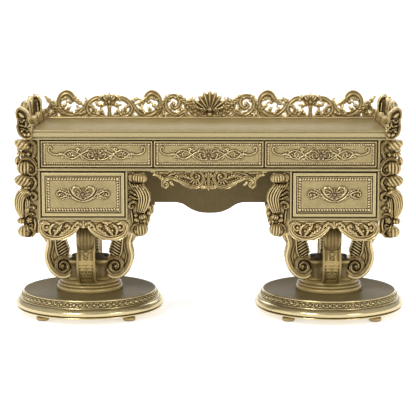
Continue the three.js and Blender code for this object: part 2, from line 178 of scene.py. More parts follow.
# painted shade: a darker, duller copy of the carved gold for the front legs and the bun feet, which stand in shade
# below the case and the plinth
M_LEG_SHADED = gold("antique_gold_leg_shaded", (0.055, 0.032, 0.010), (0.140, 0.093, 0.027), (0.345, 0.250, 0.098), 0.55, 0.42, 0.62, 1.3, 0.18, ao_dist=0.016)
M_APRON = gold("antique_gold_shaded", (0.055, 0.030, 0.009), (0.160, 0.108, 0.038), (0.42, 0.325, 0.155), 0.80, 0.25, 0.50, 1.35, 0.18, ao_dist=0.016)
M_BORDER = gold("antique_gold_border", (0.055, 0.030, 0.010), (0.235, 0.165, 0.075), (0.52, 0.42, 0.23), 0.62, 0.30, 0.50, 1.6, 0.25, 1300.0, ao_dist=0.008)
M_SPRAY = gold("antique_gold_spray", (0.060, 0.034, 0.012), (0.205, 0.146, 0.062), (0.48, 0.38, 0.20), 0.70, 0.26, 0.48, 1.6, 0.2, ao_dist=0.010)
M_WOOD, _wt, _wb = _nodes("drawer_board")
_g = _noise(_wt, 26.0, 5.0, 0.6, (1, 0.06, 1))
_r = _ramp(_wt, [(0.25, (0.22, 0.12, 0.05)), (0.55, (0.46, 0.29, 0.14)), (0.8, (0.60, 0.42, 0.22))])
_wt.links.new(_g, _r.inputs[0]); _wt.links.new(_r.outputs[0], _wb.inputs["Base Color"])
_wt.links.new(_maprange(_wt, _g, 0.2, 0.8, 0.62, 0.45), _wb.inputs["Roughness"])
_bm = _n(_wt, "ShaderNodeBump"); _bm.inputs["Strength"].default_value = 0.2; _bm.inputs["Distance"].default_value = 0.001
_wt.links.new(_g, _bm.inputs["Height"]); _wt.links.new(_bm.outputs[0], _wb.inputs["Normal"])

# ----------------------------------------------------------------------------
# mesh making (millimetres in, metres out)
# ----------------------------------------------------------------------------
def build_mesh(name, V, F, cav_iter=8, cav_scale=1.6, smooth_deg=50):
    """V n x 3 in mm; F list of face index arrays (each k x 3 or k x 4)."""
    V = np.asarray(V, float)
    F = [np.asarray(f, np.int64) for f in F if len(f)]
    vol = 0.0
    for f in F:
        a, b, c = V[f[:, 0]], V[f[:, 1]], V[f[:, 2]]
        vol += np.einsum("ij,ij->i", a, np.cross(b, c)).sum()
        if f.shape[1] == 4:
            d = V[f[:, 3]]
            vol += np.einsum("ij,ij->i", a, np.cross(c, d)).sum()
    if vol < 0:
        F = [f[:, ::-1] for f in F]
    loops = np.concatenate([f.ravel() for f in F])
    sizes = np.concatenate([np.full(len(f), f.shape[1]) for f in F])
    starts = np.concatenate([[0], np.cumsum(sizes)[:-1]])
    me = bpy.data.meshes.new(name)
    me.vertices.add(len(V)); me.loops.add(len(loops)); me.polygons.add(len(sizes))
    me.vertices.foreach_set("co", (V / 1000.0).astype(np.float32).ravel())
    me.loops.foreach_set("vertex_index", loops.astype(np.int32))
    me.polygons.foreach_set("loop_start", starts.astype(np.int32))
    try:
        me.polygons.foreach_set("loop_total", sizes.astype(np.int32))
    except Exception:
        pass
    me.update(calc_edges=True)
    me.validate()
    cavity(me, cav_iter, cav_scale)
    me.polygons.foreach_set("use_smooth", np.ones(len(me.polygons), bool))
    try:
        me.set_sharp_from_angle(angle=math.radians(smooth_deg))
    except Exception:
        pass
    return me


def cavity(me, iters=8, scale=1.6):
    """Vertex attribute: 0.5 where flat, lower in hollows, higher on high points. scale is in mm of hollow depth."""
    nv, ne = len(me.vertices), len(me.edges)
    co = np.zeros(nv * 3, np.float32); me.vertices.foreach_get("co", co); co = co.reshape(-1, 3).astype(float) * 1000
    ed = np.zeros(ne * 2, np.int32); me.edges.foreach_get("vertices", ed); ed = ed.reshape(-1, 2)
    nr = np.zeros(nv * 3, np.float32); me.vertex_normals.foreach_get("vector", nr); nr = nr.reshape(-1, 3)
    i, j = np.concatenate([ed[:, 0], ed[:, 1]]), np.concatenate([ed[:, 1], ed[:, 0]])
    deg = np.maximum(np.bincount(i, minlength=nv), 1)[:, None]
    p = co.copy()
    for _ in range(iters):
        s = np.stack([np.bincount(i, p[j, c], minlength=nv) for c in range(3)], 1) / deg
        p = 0.35 * p + 0.65 * s
    c = np.einsum("ij,ij->i", co - p, nr)
    for _ in range(1):
        c = 0.5 * c + 0.5 * np.bincount(i, c[j], minlength=nv) / deg[:, 0]
    val = np.clip(0.5 + c / (2 * scale), 0, 1)
    a = me.attributes.new("cav", "FLOAT", "POINT")
    a.data.foreach_set("value", val.astype(np.float32))


def put(name, me, mat, body="carcass", replaces=(), place=None):
    o = bpy.data.objects.new(name, me)
    bpy.context.scene.collection.objects.link(o)
    if not me.materials:
        me.materials.append(mat)
    if place is not None:
        o.matrix_world = place
    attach(o, body)
    if replaces:
        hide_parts(*replaces)
    return o


class Bag:
    """Collects closed solids into one mesh."""
    def __init__(s):
        s.V, s.Q, s.T, s.n = [], [], [], 0

    def add(s, V, Q=(), T=()):
        s.V.append(np.asarray(V, float))
        # each part faces outwards
        vol = 0.0
        V = s.V[-1]
        for f in (Q, T):
            if len(f):
                f = np.asarray(f)
                a, b, c = V[f[:, 0]], V[f[:, 1]], V[f[:, 2]]
                vol += np.einsum("ij,ij->i", a, np.cross(b, c)).sum()
                if f.shape[1] == 4:
                    vol += np.einsum("ij,ij->i", a, np.cross(c, V[f[:, 3]])).sum()
        if len(Q):
            q = np.asarray(Q) + s.n
            s.Q.append(q[:, ::-1] if vol < 0 else q)
        if len(T):
            t = np.asarray(T) + s.n
            s.T.append(t[:, ::-1] if vol < 0 else t)
        s.n += len(V)

    def mesh(s, name, **kw):
        F = []
        if s.Q:
            F.append(np.concatenate(s.Q))
        if s.T:
            F.append(np.concatenate(s.T))
        return build_mesh(name, np.concatenate(s.V), F, **kw)


def curve(pts, step=1.2, closed=False):
    """Centripetal-like smooth line through points, evenly sampled."""
    P = np.asarray(pts, float)
    if len(P) == 2 and not closed:
        n = max(2, int(np.linalg.norm(P[1] - P[0]) / step) + 1)
        return np.linspace(P[0], P[1], n)
    if closed:
        Q = np.vstack([P[-1], P, P[0], P[1]])
    else:
        Q = np.vstack([2 * P[0] - P[1], P, 2 * P[-1] - P[-2]])
    out = []
    m = len(Q) - 3
    for k in range(m):
        p0, p1, p2, p3 = Q[k:k + 4]
        n = max(3, int(np.linalg.norm(p2 - p1) / step) + 1)
        t = np.linspace(0, 1, n, endpoint=False)[:, None]
        out.append(0.5 * ((2 * p1) + (-p0 + p2) * t + (2 * p0 - 5 * p1 + 4 * p2 - p3) * t ** 2 + (-p0 + 3 * p1 - 3 * p2 + p3) * t ** 3))
    out = np.vstack(out + ([] if closed else [P[-1:]]))
    return out


def spiral(c, r0, r1, a0, a1, n=None, p=1.0):
    """Points from radius r0 at angle a0 (deg) to r1 at a1."""
    n = n or max(8, int(abs(a1 - a0) / 15))
    t = np.linspace(0, 1, n)
    r = r0 + (r1 - r0) * t ** p
    a = np.radians(a0 + (a1 - a0) * t)
    return [(c[0] + R * math.cos(A), c[1] + R * math.sin(A)) for R, A in zip(r, a)]


class Relief:
    def __init__(s, u0, u1, v0, v1, step, ground=-99.0, sym=False):
        s.nu = int(round((u1 - u0) / step)) + 1
        s.nv = int(round((v1 - v0) / step)) + 1
        s.u = np.linspace(u0, u1, s.nu)
        s.v = np.linspace(v0, v1, s.nv)
        s.step = step
        s.U, s.Vv = np.meshgrid(s.u, s.v)
        s.H = np.full((s.nv, s.nu), float(ground))
        s.sym = sym

    def _win(s, lo, hi):
        i0, i1 = np.searchsorted(s.u, [lo[0], hi[0]])
        j0, j1 = np.searchsorted(s.v, [lo[1], hi[1]])
        return slice(max(j0 - 1, 0), min(j1 + 1, s.nv)), slice(max(i0 - 1, 0), min(i1 + 1, s.nu))

    def _put(s, sl, ok, h, mode):
        cur = s.H[sl]
        if mode == "max":
            new = np.maximum(cur, h)
        elif mode == "over":   # sits on what is there
            new = np.maximum(cur, 0) + h
        elif mode == "cut":
            new = np.minimum(cur, h)
        s.H[sl] = np.where(ok, new, cur)

    def stroke(s, pts, w, h, kind="round", base=0.0, n=6, k=0.35, depth=0.35, mode="max", closed=False, _m=False):
        P = curve(pts, max(0.8, s.step * 0.6), closed)
        L = np.concatenate([[0], np.cumsum(np.linalg.norm(np.diff(P, axis=0), axis=1))])
        t = L / L[-1]
        w = np.atleast_1d(w).astype(float); h = np.atleast_1d(h).astype(float)
        W = np.interp(t, np.linspace(0, 1, len(w)), w)
        Hh = np.interp(t, np.linspace(0, 1, len(h)), h)
        T = np.gradient(P, axis=0); T /= np.linalg.norm(T, axis=1)[:, None] + 1e-9
        mw = W.max() + s.step
        sl = s._win(P.min(0) - mw, P.max(0) + mw)
        g = np.stack([s.U[sl].ravel(), s.Vv[sl].ravel()], 1)
        if len(g):
            idx = np.empty(len(g), int); dist = np.empty(len(g))
            for a in range(0, len(g), 20000):
                gg = g[a:a + 20000]
                # nearest centre-line sample by plain distance; q below scales that distance by the local half width
                d2 = ((gg[:, None, :] - P[None]) ** 2).sum(2)
                ii = d2.argmin(1)
                idx[a:a + 20000] = ii
                dist[a:a + 20000] = np.sqrt(d2[np.arange(len(gg)), ii])
            d = g - P[idx]
            sg = np.sign(T[idx, 0] * d[:, 1] - T[idx, 1] * d[:, 0])
            q = dist / np.maximum(W[idx], 1e-6)
            tt = t[idx]
            f, ok = profile(kind, q, sg, tt, n, k, depth)
            ok = (ok & (W[idx] > 0.05)).reshape(s.U[sl].shape)
            s._put(sl, ok, (base + Hh[idx] * f).reshape(s.U[sl].shape), mode)
        if s.sym and not _m:
            s.stroke([(-x, y) for x, y in pts], w, h, kind, base, n, k, depth, mode, closed, True)

    def disc(s, c, r, h, base=0.0, kind="dome", petals=5, mode="max", rot=0.0, _m=False):
        sl = s._win((c[0] - r - 1, c[1] - r - 1), (c[0] + r + 1, c[1] + r + 1))
        dx, dy = s.U[sl] - c[0], s.Vv[sl] - c[1]
        d = np.hypot(dx, dy) / r
        a = np.arctan2(dy, dx) + rot
        if kind == "dome":
            f = np.sqrt(np.clip(1 - d * d, 0, 1)); ok = d < 1
        elif kind == "ring":
            f = np.sqrt(np.clip(1 - ((d - 0.72) / 0.28) ** 2, 0, 1)) + 0.25 * (d < 0.5); ok = d < 1
        elif kind == "flower":
            lob = np.abs(np.cos(a * petals / 2))
            e = 0.72 + 0.28 * lob ** 0.7
            q = d / e
            f = np.clip(1 - q ** 3, 0, 1) ** 0.6 * (0.45 + 0.35 * lob ** 0.6 + 0.2 * np.sin(PI * np.clip(q, 0, 1)))
            f = np.maximum(f, 0.95 * np.sqrt(np.clip(1 - (d / 0.28) ** 2, 0, 1)))
            ok = q < 1
        s._put(sl, ok, base + h * f, mode)
        if s.sym and not _m:
            s.disc((-c[0], c[1]), r, h, base, kind, petals, mode, PI - rot, True)

    def fan(s, c, r, a0, a1, lobes, h, base=0.0, power=0.5, r_in=0.0, droop=0.0, mode="max", _m=False):
        """Shell or palmette: rays from c between angles a0..a1 (deg), with scalloped tips."""
        sl = s._win((c[0] - r * 1.1, c[1] - r * 1.1), (c[0] + r * 1.1, c[1] + r * 1.1))
        dx, dy = s.U[sl] - c[0], s.Vv[sl] - c[1]
        d = np.hypot(dx, dy)
        mid = math.radians((a0 + a1) / 2)
        a = (np.degrees(np.arctan2(dy, dx) - mid) + 180) % 360 - 180
        x = a / ((a1 - a0) / 2)  # -1..1
        ph = (x + 1) / 2 * lobes
        lob = np.abs(np.sin(PI * ph))
        R = r * (1 - droop * x * x) * (0.80 + 0.20 * lob ** 0.6)
        q = d / np.maximum(R, 1e-6)
        ok = (np.abs(x) <= 1) & (q < 1) & (d >= r_in)
        f = np.clip(1 - q ** 6, 0, 1) ** 0.5 * (0.35 + 0.35 * q + 0.40 * lob ** power * np.clip(q * 1.6, 0, 1))
        s._put(sl, ok, base + h * f, mode)
        if s.sym and not _m:
            s.fan((-c[0], c[1]), r, 180 - a1, 180 - a0, lobes, h, base, power, r_in, droop, mode, True)

    def roll(s, c, rx, rz, ang, h, base=0.0, n=5, conv=0.55, lean=0.0, rib=0.32, mode="max"):
        """Domed roll with ribs running round it; ang turns its axis (deg)."""
        r = max(rx, rz) + 1
        sl = s._win((c[0] - r, c[1] - r), (c[0] + r, c[1] + r))
        dx, dy = s.U[sl] - c[0], s.Vv[sl] - c[1]
        ca, sa = math.cos(math.radians(ang)), math.sin(math.radians(ang))
        p, q = (dx * ca + dy * sa) / rx, (-dx * sa + dy * ca) / rz
        d2 = p * p + q * q
        ok = d2 < 1
        x = p / np.sqrt(np.clip(1 - conv * q * q, 0.05, 1)) + lean * q
        f = np.sqrt(np.clip(1 - d2, 0, 1)) ** 0.85 * (1 - rib + rib * np.abs(np.cos(PI * n * x / 2)) ** 0.8)
        s._put(sl, ok, base + h * f, mode)

    def comb(s, A, Bc, n, w, h, base, crown=6.0, kind="round"):
        """Ribs laid side by side between two curves."""
        a, b = curve(A, 2.0), curve(Bc, 2.0)
        t = np.linspace(0, 1, 24)
        a = np.stack([np.interp(t, np.linspace(0, 1, len(a)), a[:, k]) for k in (0, 1)], 1)
        b = np.stack([np.interp(t, np.linspace(0, 1, len(b)), b[:, k]) for k in (0, 1)], 1)
        for k in range(n):
            f = (k + 0.5) / n
            c = a * (1 - f) + b * f
            g = math.sin(PI * f)
            s.stroke([tuple(x) for x in c[::3]] + [tuple(c[-1])], [w * .55, w, w, w * .9, w * .5], [h * .6, h, h, h, h * .6], kind, base + crown * g)

    def poly(s, pts, h, mode="max", smooth=True, _m=False):
        P = curve(pts, 2.0, True) if smooth else np.asarray(pts, float)
        x, y = s.U, s.Vv
        inside = np.zeros(x.shape, bool)
        x0, y0 = P[-1]
        for x1, y1 in P:
            if y0 != y1:
                c = ((y0 > y) != (y1 > y)) & (x < (x1 - x0) * (y - y0) / (y1 - y0) + x0)
                inside ^= c
            x0, y0 = x1, y1
        s._put((slice(None), slice(None)), inside, h, mode)
        if s.sym and not _m:
            s.poly([(-a, b) for a, b in pts][::-1], h, mode, smooth, True)
        return inside

    def blur(s, times=1):
        M = (s.H > -50).astype(float)
        A = np.where(M > 0, s.H, 0)
        for _ in range(times):
            def b(X):
                Y = np.pad(X, 1, mode="edge")
                return (Y[:-2, 1:-1] + Y[2:, 1:-1] + Y[1:-1, :-2] + Y[1:-1, 2:] + 4 * Y[1:-1, 1:-1]) / 8
            w = b(M)
            A = np.where(M > 0, b(A * M) / np.maximum(w, 1e-6), 0)
        s.H = np.where(M > 0, A, s.H)

    def solid(s, to3d, back=None, thr=-50.0, smooth=4, back_scale=1.0):
        """Closed solid: front at H, back at `back` (constant) or mirrored -H*back_scale. Returns V, Q."""
        M = s.H > thr
        C = M[:-1, :-1] & M[1:, :-1] & M[:-1, 1:] & M[1:, 1:]
        used = np.zeros_like(M)
        used[:-1, :-1] |= C; used[1:, :-1] |= C; used[:-1, 1:] |= C; used[1:, 1:] |= C
        ids = -np.ones(M.shape, int)
        ids[used] = np.arange(used.sum())
        n = int(used.sum())
        jj, ii = np.nonzero(C)
        a, b, c, d = ids[jj, ii], ids[jj, ii + 1], ids[jj + 1, ii + 1], ids[jj + 1, ii]
        front = np.stack([a, b, c, d], 1)
        E = np.concatenate([front[:, [0, 1]], front[:, [1, 2]], front[:, [2, 3]], front[:, [3, 0]]])
        key = E[:, 0] * n + E[:, 1]; rev = E[:, 1] * n + E[:, 0]
        bd = E[~np.isin(key, rev)]
        u, v, h = s.U[used].copy(), s.Vv[used].copy(), s.H[used].copy()
        on = np.zeros(n, bool); on[bd.ravel()] = True
        i = np.concatenate([bd[:, 0], bd[:, 1]]); j = np.concatenate([bd[:, 1], bd[:, 0]])
        deg = np.maximum(np.bincount(i, minlength=n), 1)
        edge = (np.abs(u - s.u[0]) < 1e-6) | (np.abs(u - s.u[-1]) < 1e-6) | (np.abs(v - s.v[0]) < 1e-6) | (np.abs(v - s.v[-1]) < 1e-6)
        mv = on & ~edge
        for _ in range(smooth):
            us = np.bincount(i, u[j], minlength=n) / deg
            vs = np.bincount(i, v[j], minlength=n) / deg
            u[mv] = 0.5 * u[mv] + 0.5 * us[mv]; v[mv] = 0.5 * v[mv] + 0.5 * vs[mv]
        F = np.stack(to3d(u, v, h), 1)
        if back is None:
            B = np.stack(to3d(u, v, -h * back_scale), 1)
            Q = np.concatenate([front, front[:, ::-1] + n, np.stack([bd[:, 1], bd[:, 0], bd[:, 0] + n, bd[:, 1] + n], 1)])
            return np.vstack([F, B]), Q
        B = np.stack(to3d(u, v, np.full(n, float(back))), 1)
        Q = np.concatenate([front, front[:, ::-1] + n, np.stack([bd[:, 1], bd[:, 0], bd[:, 0] + n, bd[:, 1] + n], 1)])
        return np.vstack([F, B]), Q


def profile(kind, q, sg, t, n, k, depth):
    a = q
    if kind == "round":
        return np.sqrt(np.clip(1 - a * a, 0, 1)), a < 1
    if kind == "flat":
        return np.clip((1 - a) / 0.25, 0, 1) ** 0.5, a < 1
    if kind == "scroll":   # band with a rolled middle and rims
        env = np.clip((1 - a) / 0.16, 0, 1) ** 0.5
        return env * (0.76 + 0.24 * np.cos(2 * PI * a)), a < 1
    if kind == "hollow":   # raised outer rim, dished inside; sg picks the side of the rim
        env = np.clip((1 - a) / 0.14, 0, 1) ** 0.5
        x = a * sg
        return env * (0.62 + 0.38 * np.abs(x) ** 1.5 + 0.12 * np.cos(PI * 3 * x)), a < 1
    if kind == "leaf":
        edge = 1 - depth * (1 - np.abs(np.sin(PI * n * (t - k / max(n, 1) * 2)))) 
        aa = a / np.maximum(edge, 0.05)
        body = np.clip(1 - aa ** 2.4, 0, 1) ** 0.5
        ph = n * t - 2 * k * np.clip(a, 0, 1.2)
        rib = np.abs(np.sin(PI * ph))
        f = body * (0.55 + 0.45 * rib ** 0.8) + 0.22 * np.exp(-(a / 0.14) ** 2) * body
        return f, aa < 1
    if kind == "frond":    # leaf with lobes on one side only
        x = a * sg
        edge = np.where(x > 0, 1 - depth * (1 - np.abs(np.sin(PI * n * (t - k / max(n, 1) * 2)))), 0.6)
        aa = a / edge
        body = np.clip(1 - aa ** 2.4, 0, 1) ** 0.5
        ph = n * t - 2 * k * np.clip(x, 0, 1.2)
        rib = np.where(x > 0, np.abs(np.sin(PI * ph)), 0.9)
        return body * (0.55 + 0.45 * rib ** 0.8), aa < 1
    raise ValueError(kind)


def lathe(profile_pts, segs, disp=None, smooth_step=None):
    """profile (r, z) closed to the axis; disp(theta, r, z) -> outward push in mm."""
    P = np.asarray(profile_pts, float)
    th = np.linspace(0, 2 * PI, segs, endpoint=False)
    T, R = np.meshgrid(th, P[:, 0], indexing="ij")
    Z = np.broadcast_to(P[:, 1], T.shape).copy()
    if disp is not None:
        dr = disp(T, R, Z)
        R = R + dr
    V = np.stack([R * np.cos(T), R * np.sin(T), Z], 2).reshape(-1, 3)
    m = len(P)
    i = np.arange(segs)[:, None]; j = np.arange(m - 1)[None]
    a = (i * m + j).ravel(); b = (((i + 1) % segs) * m + j).ravel()
    return V, np.stack([a, b, b + 1, a + 1], 1)


def closed_lathe(profile_pts, segs, disp=None):
    """As lathe, with a centre vertex at both ends (first and last profile points have r > 0)."""
    V, Q = lathe(profile_pts, segs, disp)
    m = len(profile_pts)
    n = len(V)
    V = np.vstack([V, [0, 0, profile_pts[0][1]], [0, 0, profile_pts[-1][1]]])
    i = np.arange(segs); k = (i + 1) % segs
    T = np.concatenate([np.stack([k * m, i * m, np.full(segs, n)], 1), np.stack([i * m + m - 1, k * m + m - 1, np.full(segs, n + 1)], 1)])
    return V, Q, T


def tube_solid(P, N, B, sections):
    """Closed sweep. P, N, B: m x 3; sections: m x s x 2 (offsets along N and B)."""
    m, sct = sections.shape[:2]
    V = P[:, None, :] + sections[:, :, 0:1] * N[:, None, :] + sections[:, :, 1:2] * B[:, None, :]
    V = V.reshape(-1, 3)
    i = np.arange(m - 1)[:, None]; j = np.arange(sct)[None]
    a = (i * sct + j).ravel(); b = (i * sct + (j + 1) % sct).ravel()
    Q = np.stack([a, b, b + sct, a + sct], 1)
    n = len(V)
    V = np.vstack([V, P[:1], P[-1:]])
    s = np.arange(sct); s1 = (s + 1) % sct
    T = np.concatenate([np.stack([s1, s, np.full(sct, n)], 1), np.stack([(m - 1) * sct + s, (m - 1) * sct + s1, np.full(sct, n + 1)], 1)])
    return V, Q, T


def barrel(c, axis, length, radius, ribs=9, rib_h=1.6, taper=0.35, segs=None, bulge=1.0, nl=22):
    """Rolled leaf seen as a fluted barrel about an axis."""
    c = np.asarray(c, float); ax = np.asarray(axis, float); ax = ax / np.linalg.norm(ax)
    up = np.array([0, 0, 1.0]) if abs(ax[2]) < 0.9 else np.array([1.0, 0, 0])
    n = np.cross(ax, up); n /= np.linalg.norm(n); b = np.cross(ax, n)
    segs = segs or 44
    x = np.linspace(-1, 1, nl)
    r = radius * (1 - taper * np.abs(x) ** 2.2) * np.clip(1 - np.abs(x) ** 10, 0.02, 1) ** 0.5
    th = np.linspace(0, 2 * PI, segs, endpoint=False)
    fl = 1 + 0 * th
    # flutes run round the barrel
    rr = r[:, None] * fl[None] + rib_h * (np.abs(np.cos(PI * ribs * (x + 1) / 2))[:, None] ** 0.7 - 0.5)
    P = c + (x * length / 2)[:, None] * ax
    sec = np.stack([rr * np.cos(th)[None], rr * np.sin(th)[None]], 2)
    return tube_solid(P, np.repeat(n[None], nl, 0), np.repeat(b[None], nl, 0), sec)

# ----------------------------------------------------------------------------
# dimensions shared with the CAD frame (mm)
# ----------------------------------------------------------------------------
def B(node):
    lo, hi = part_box(node)
    return [x * 1000 for x in lo], [x * 1000 for x in hi]

PED_X = 540.5
TOP = 847.5

# ----------------------------------------------------------------------------
# rear gallery: pierced scrollwork, drawn for one half and mirrored
# ----------------------------------------------------------------------------
def gx(px):
    return (((px - 224.7) / 0.909 + 16) * 4.3 - 1.2) * 0.973

def gz(py):
    return 848 + ((335.6 - (py + 8.6) / 0.909) * 4.3 - 849.0) * 0.965

def G(*pts):
    return [(gx(x), gz(y)) for x, y in pts]

def rear_gallery():
    R = Relief(-784, 784, 848, 984, 2.0, sym=True)
    def S(pts, w, *a, **k):
        R.stroke(pts, [x * 1.62 for x in w], *a, **k)
    # running bead at the foot of the gallery
    S([(-779, 854), (0, 854)], [5], [4], "round", 6)
    # end plume and its curl
    S(G((44.2, 94.0), (47, 97.5), (51.5, 102), (56.5, 107), (62, 111.5), (68, 115)), [3, 9, 14, 13, 9, 6], [4, 8, 9, 8, 6], "leaf", 5, n=7, k=.9, depth=.45)
    S(G((54.5, 103.5), (49.5, 106), (48.2, 110.5), (51, 114.5), (55.4, 113), (55.2, 109.6), (52.3, 109.4)), [7, 8, 8, 7, 6, 5], [4, 5, 6], "scroll", 5)
    R.disc(G((52.4, 111.2))[0], 8, 7, 5)
    # hook scroll
    S(G((70.2, 100.6), (72.4, 97.4), (70.2, 93.4), (66, 92.0), (61.4, 94.4), (58.8, 99), (58.6, 103.5), (61.5, 109), (67, 113.2), (73.4, 113.8), (79, 111), (83, 106.6), (85.6, 101.5)), [7, 10, 12, 11, 9, 8.5, 9, 11, 12, 11, 9, 7, 3.5], [6, 8, 8, 7, 7, 8, 8, 7, 5], "scroll", 5)
    R.disc(G((70.0, 100.2))[0], 9.5, 11, 5)
    S(G((71, 94.6), (75, 98), (79, 101.4), (84.5, 103.4)), [7, 12, 11, 3], [6, 8, 5], "frond", 6, n=4, k=.7, depth=.55)
    S(G((66, 110.5), (68.0, 107.2), (70.4, 105.4)), [9, 8, 4], [6, 8, 6], "leaf", 5, n=3)
    R.disc(G((67.9, 106.6))[0], 8.5, 10, 5)
    S(G((84.6, 103), (86.2, 98.6), (85.2, 95.6)), [6, 6, 2.5], [6, 5], "leaf", 5, n=3)
    # cartouche and palmette
    S(G((100.8, 103.6), (97.6, 103.4), (96.4, 101.4)), [4, 7, 6], [6, 8], "leaf", 5, n=3)
    S(G((105, 100.4), (100.5, 96.9), (94.6, 97.6), (89.4, 101.6), (87.0, 106.6), (88.2, 111.6), (92.5, 114.6), (99, 114.2), (104, 114.6)), [5, 8, 9, 9, 9, 10, 10, 8, 6], [5, 7, 8, 8, 8, 7], "scroll", 5)
    S(G((98, 103.4), (102.2, 103.6), (106.6, 101.6)), [4, 9, 6], [5, 7, 6], "leaf", 6, n=3)
    S(G((94, 113), (95.4, 109.4), (96.8, 107.2)), [8, 8, 3], [6, 8], "leaf", 5, n=3)
    R.disc(G((103.0, 111.4))[0], 8, 9, 5)
    S(G((109.4, 117), (109.4, 101)), [9, 6, 8], [7, 8, 9], "scroll", 6)
    R.fan(G((109.4, 102.6))[0], 50, 52, 128, 5, 9, 5, droop=.28)
    S(G((109.4, 108), (106.4, 100.5), (104.2, 95.2), (104.4, 92.6)), [3, 6, 6, 2.5], [6, 8, 5], "leaf", 8, n=4)
    S(G((109.4, 108), (112.4, 100.5), (114.6, 95.2), (114.4, 92.6)), [3, 6, 6, 2.5], [6, 8, 5], "leaf", 8, n=4)
    S(G((109.4, 108), (109.4, 97), (109.4, 90.6)), [3, 7, 2.5], [8, 10, 6], "leaf", 9, n=5)
    # mirrored cartouche
    S(G((113.8, 100.4), (118.2, 96.9), (124.2, 97.6), (129.2, 101.6), (132.0, 106.6), (130.8, 111.6), (126.5, 114.6), (120, 114.2), (114, 114.6)), [5, 8, 9, 9, 9, 10, 10, 8, 6], [5, 7, 8, 8, 8, 7], "scroll", 5)
    S(G((121, 103.4), (116.6, 103.6), (112.2, 101.6)), [4, 9, 6], [5, 7, 6], "leaf", 6, n=3)
    S(G((124.6, 113), (123, 109.4), (121.6, 107.2)), [8, 8, 3], [6, 8], "leaf", 5, n=3)
    R.disc(G((115.4, 111.4))[0], 8, 9, 5)
    # second hook scroll
    S(G((148.6, 100.6), (146.6, 97.2), (148.6, 93.6), (152.6, 92.0), (157.2, 94.2), (160.0, 98.8), (160.2, 104), (157.2, 109.6), (152, 113.6), (145.6, 114.2), (139.8, 111.4), (135.2, 106.6), (131.5, 99.5), (133.6, 97.6)), [7, 10, 12, 11, 9, 8.5, 9, 11, 12, 11, 9, 8, 7, 3], [6, 8, 8, 7, 7, 8, 8, 7, 5], "scroll", 5)
    R.disc(G((149.2, 100.4))[0], 9.5, 11, 5)
    S(G((148, 95), (144, 98.6), (140, 101.6), (134.6, 102.6)), [7, 12, 11, 3], [6, 8, 5], "frond", 6, n=4, k=.7, depth=.55)
    S(G((151, 111), (149.6, 107.6), (147.4, 105.8)), [9, 8, 4], [6, 8, 6], "leaf", 5, n=3)
    R.disc(G((149.4, 107.2))[0], 8.5, 10, 5)
    # strap up to the spiral
    S(G((157.5, 112), (160.6, 106.6), (163.4, 100.6), (166.4, 96.2), (165.4, 94.2)), [8, 9, 9, 7, 3], [6, 8, 6], "leaf", 5, n=5, k=.8)
    S(G((161, 116), (163.6, 111), (166.4, 106)), [7, 9, 5], [5, 7, 5], "leaf", 5, n=3)
    # spiral volute and its long leaf
    S(G((173.8, 101.8), (172.2, 104.6), (175.0, 106.8), (178.4, 105.2), (180.0, 100.8), (178.2, 96.6), (174.0, 94.8), (169.4, 96.2), (166.2, 100.6), (166.4, 106), (169.6, 110.6), (174.6, 113.6), (180, 112.8), (185.6, 110)), [7, 8, 9, 10, 10, 9, 9, 9, 9, 9, 10, 10, 9, 6], [9, 9, 8, 8, 8, 8, 8, 8], "scroll", 5)
    R.disc(G((174.4, 102.2))[0], 9, 13, 5)
    S(G((179.6, 97), (184, 99.6), (188.5, 102.4), (193, 106), (196.8, 111)), [6, 14, 17, 15, 7], [6, 9, 9, 6], "leaf", 5, n=6, k=.9, depth=.4)
    S(G((193.6, 107), (189.0, 106.4), (186.0, 109), (186.2, 112.8), (190, 115.4), (195.4, 114.4), (200, 113.6)), [6, 7, 8, 8, 7, 7, 5], [6, 7, 7, 6], "scroll", 5)
    S(G((196.6, 112), (195.0, 104), (194.4, 99.2), (196, 96)), [8, 9, 7, 3], [7, 9, 6], "leaf", 5, n=4)
    # great central palmette: rounded lobes round a middle leaf
    c = G((210.4, 110.5))[0]
    R.fan((0, c[1]), 100, 12, 168, 9, 12, 5, droop=.40, power=.7)
    for k_ in range(9):
        a_ = math.radians(12 + 156 * (k_ + .5) / 9)
        x_ = (k_ + .5) / 4.5 - 1
        r_ = 100 * (1 - .40 * x_ * x_)
        R.stroke([(18 * math.cos(a_), c[1] + 18 * math.sin(a_)), (r_ * .55 * math.cos(a_), c[1] + r_ * .55 * math.sin(a_)), (r_ * .92 * math.cos(a_), c[1] + r_ * .92 * math.sin(a_))], [3, 5.5, 7], [10, 13, 13], "round", 7)
        R.disc((r_ * .90 * math.cos(a_), c[1] + r_ * .90 * math.sin(a_)), 9.5, 13, 7)
    R.fan(G((109.4, 101.2))[0], 44, 32, 148, 5, 15, 8, droop=.15); R.disc(G((109.4, 100.4))[0], 9, 18, 8)
    R.poly([(0, 852), (-46, 852), (-52, 872), (-34, 886), (0, 884)], 8, smooth=False); R.disc((0, 866), 13, 17, 7, "flower", 5)
    R.disc(G((203.4, 108.7))[0], 12, 15, 7, "ring"); R.disc(G((203.4, 108.7))[0], 5, 20, 7)
    S(G((210.6, 115.4), (206.2, 114.4), (202.6, 114.2), (200.6, 112), (202.4, 110.2), (204.2, 111.6)), [7, 8, 8, 7, 6, 5], [8, 9, 9], "scroll", 6)
    R.disc(G((202.9, 112))[0], 6, 14, 6)
    R.disc((0, gz(108)), 13, 16, 7, "flower", 6)
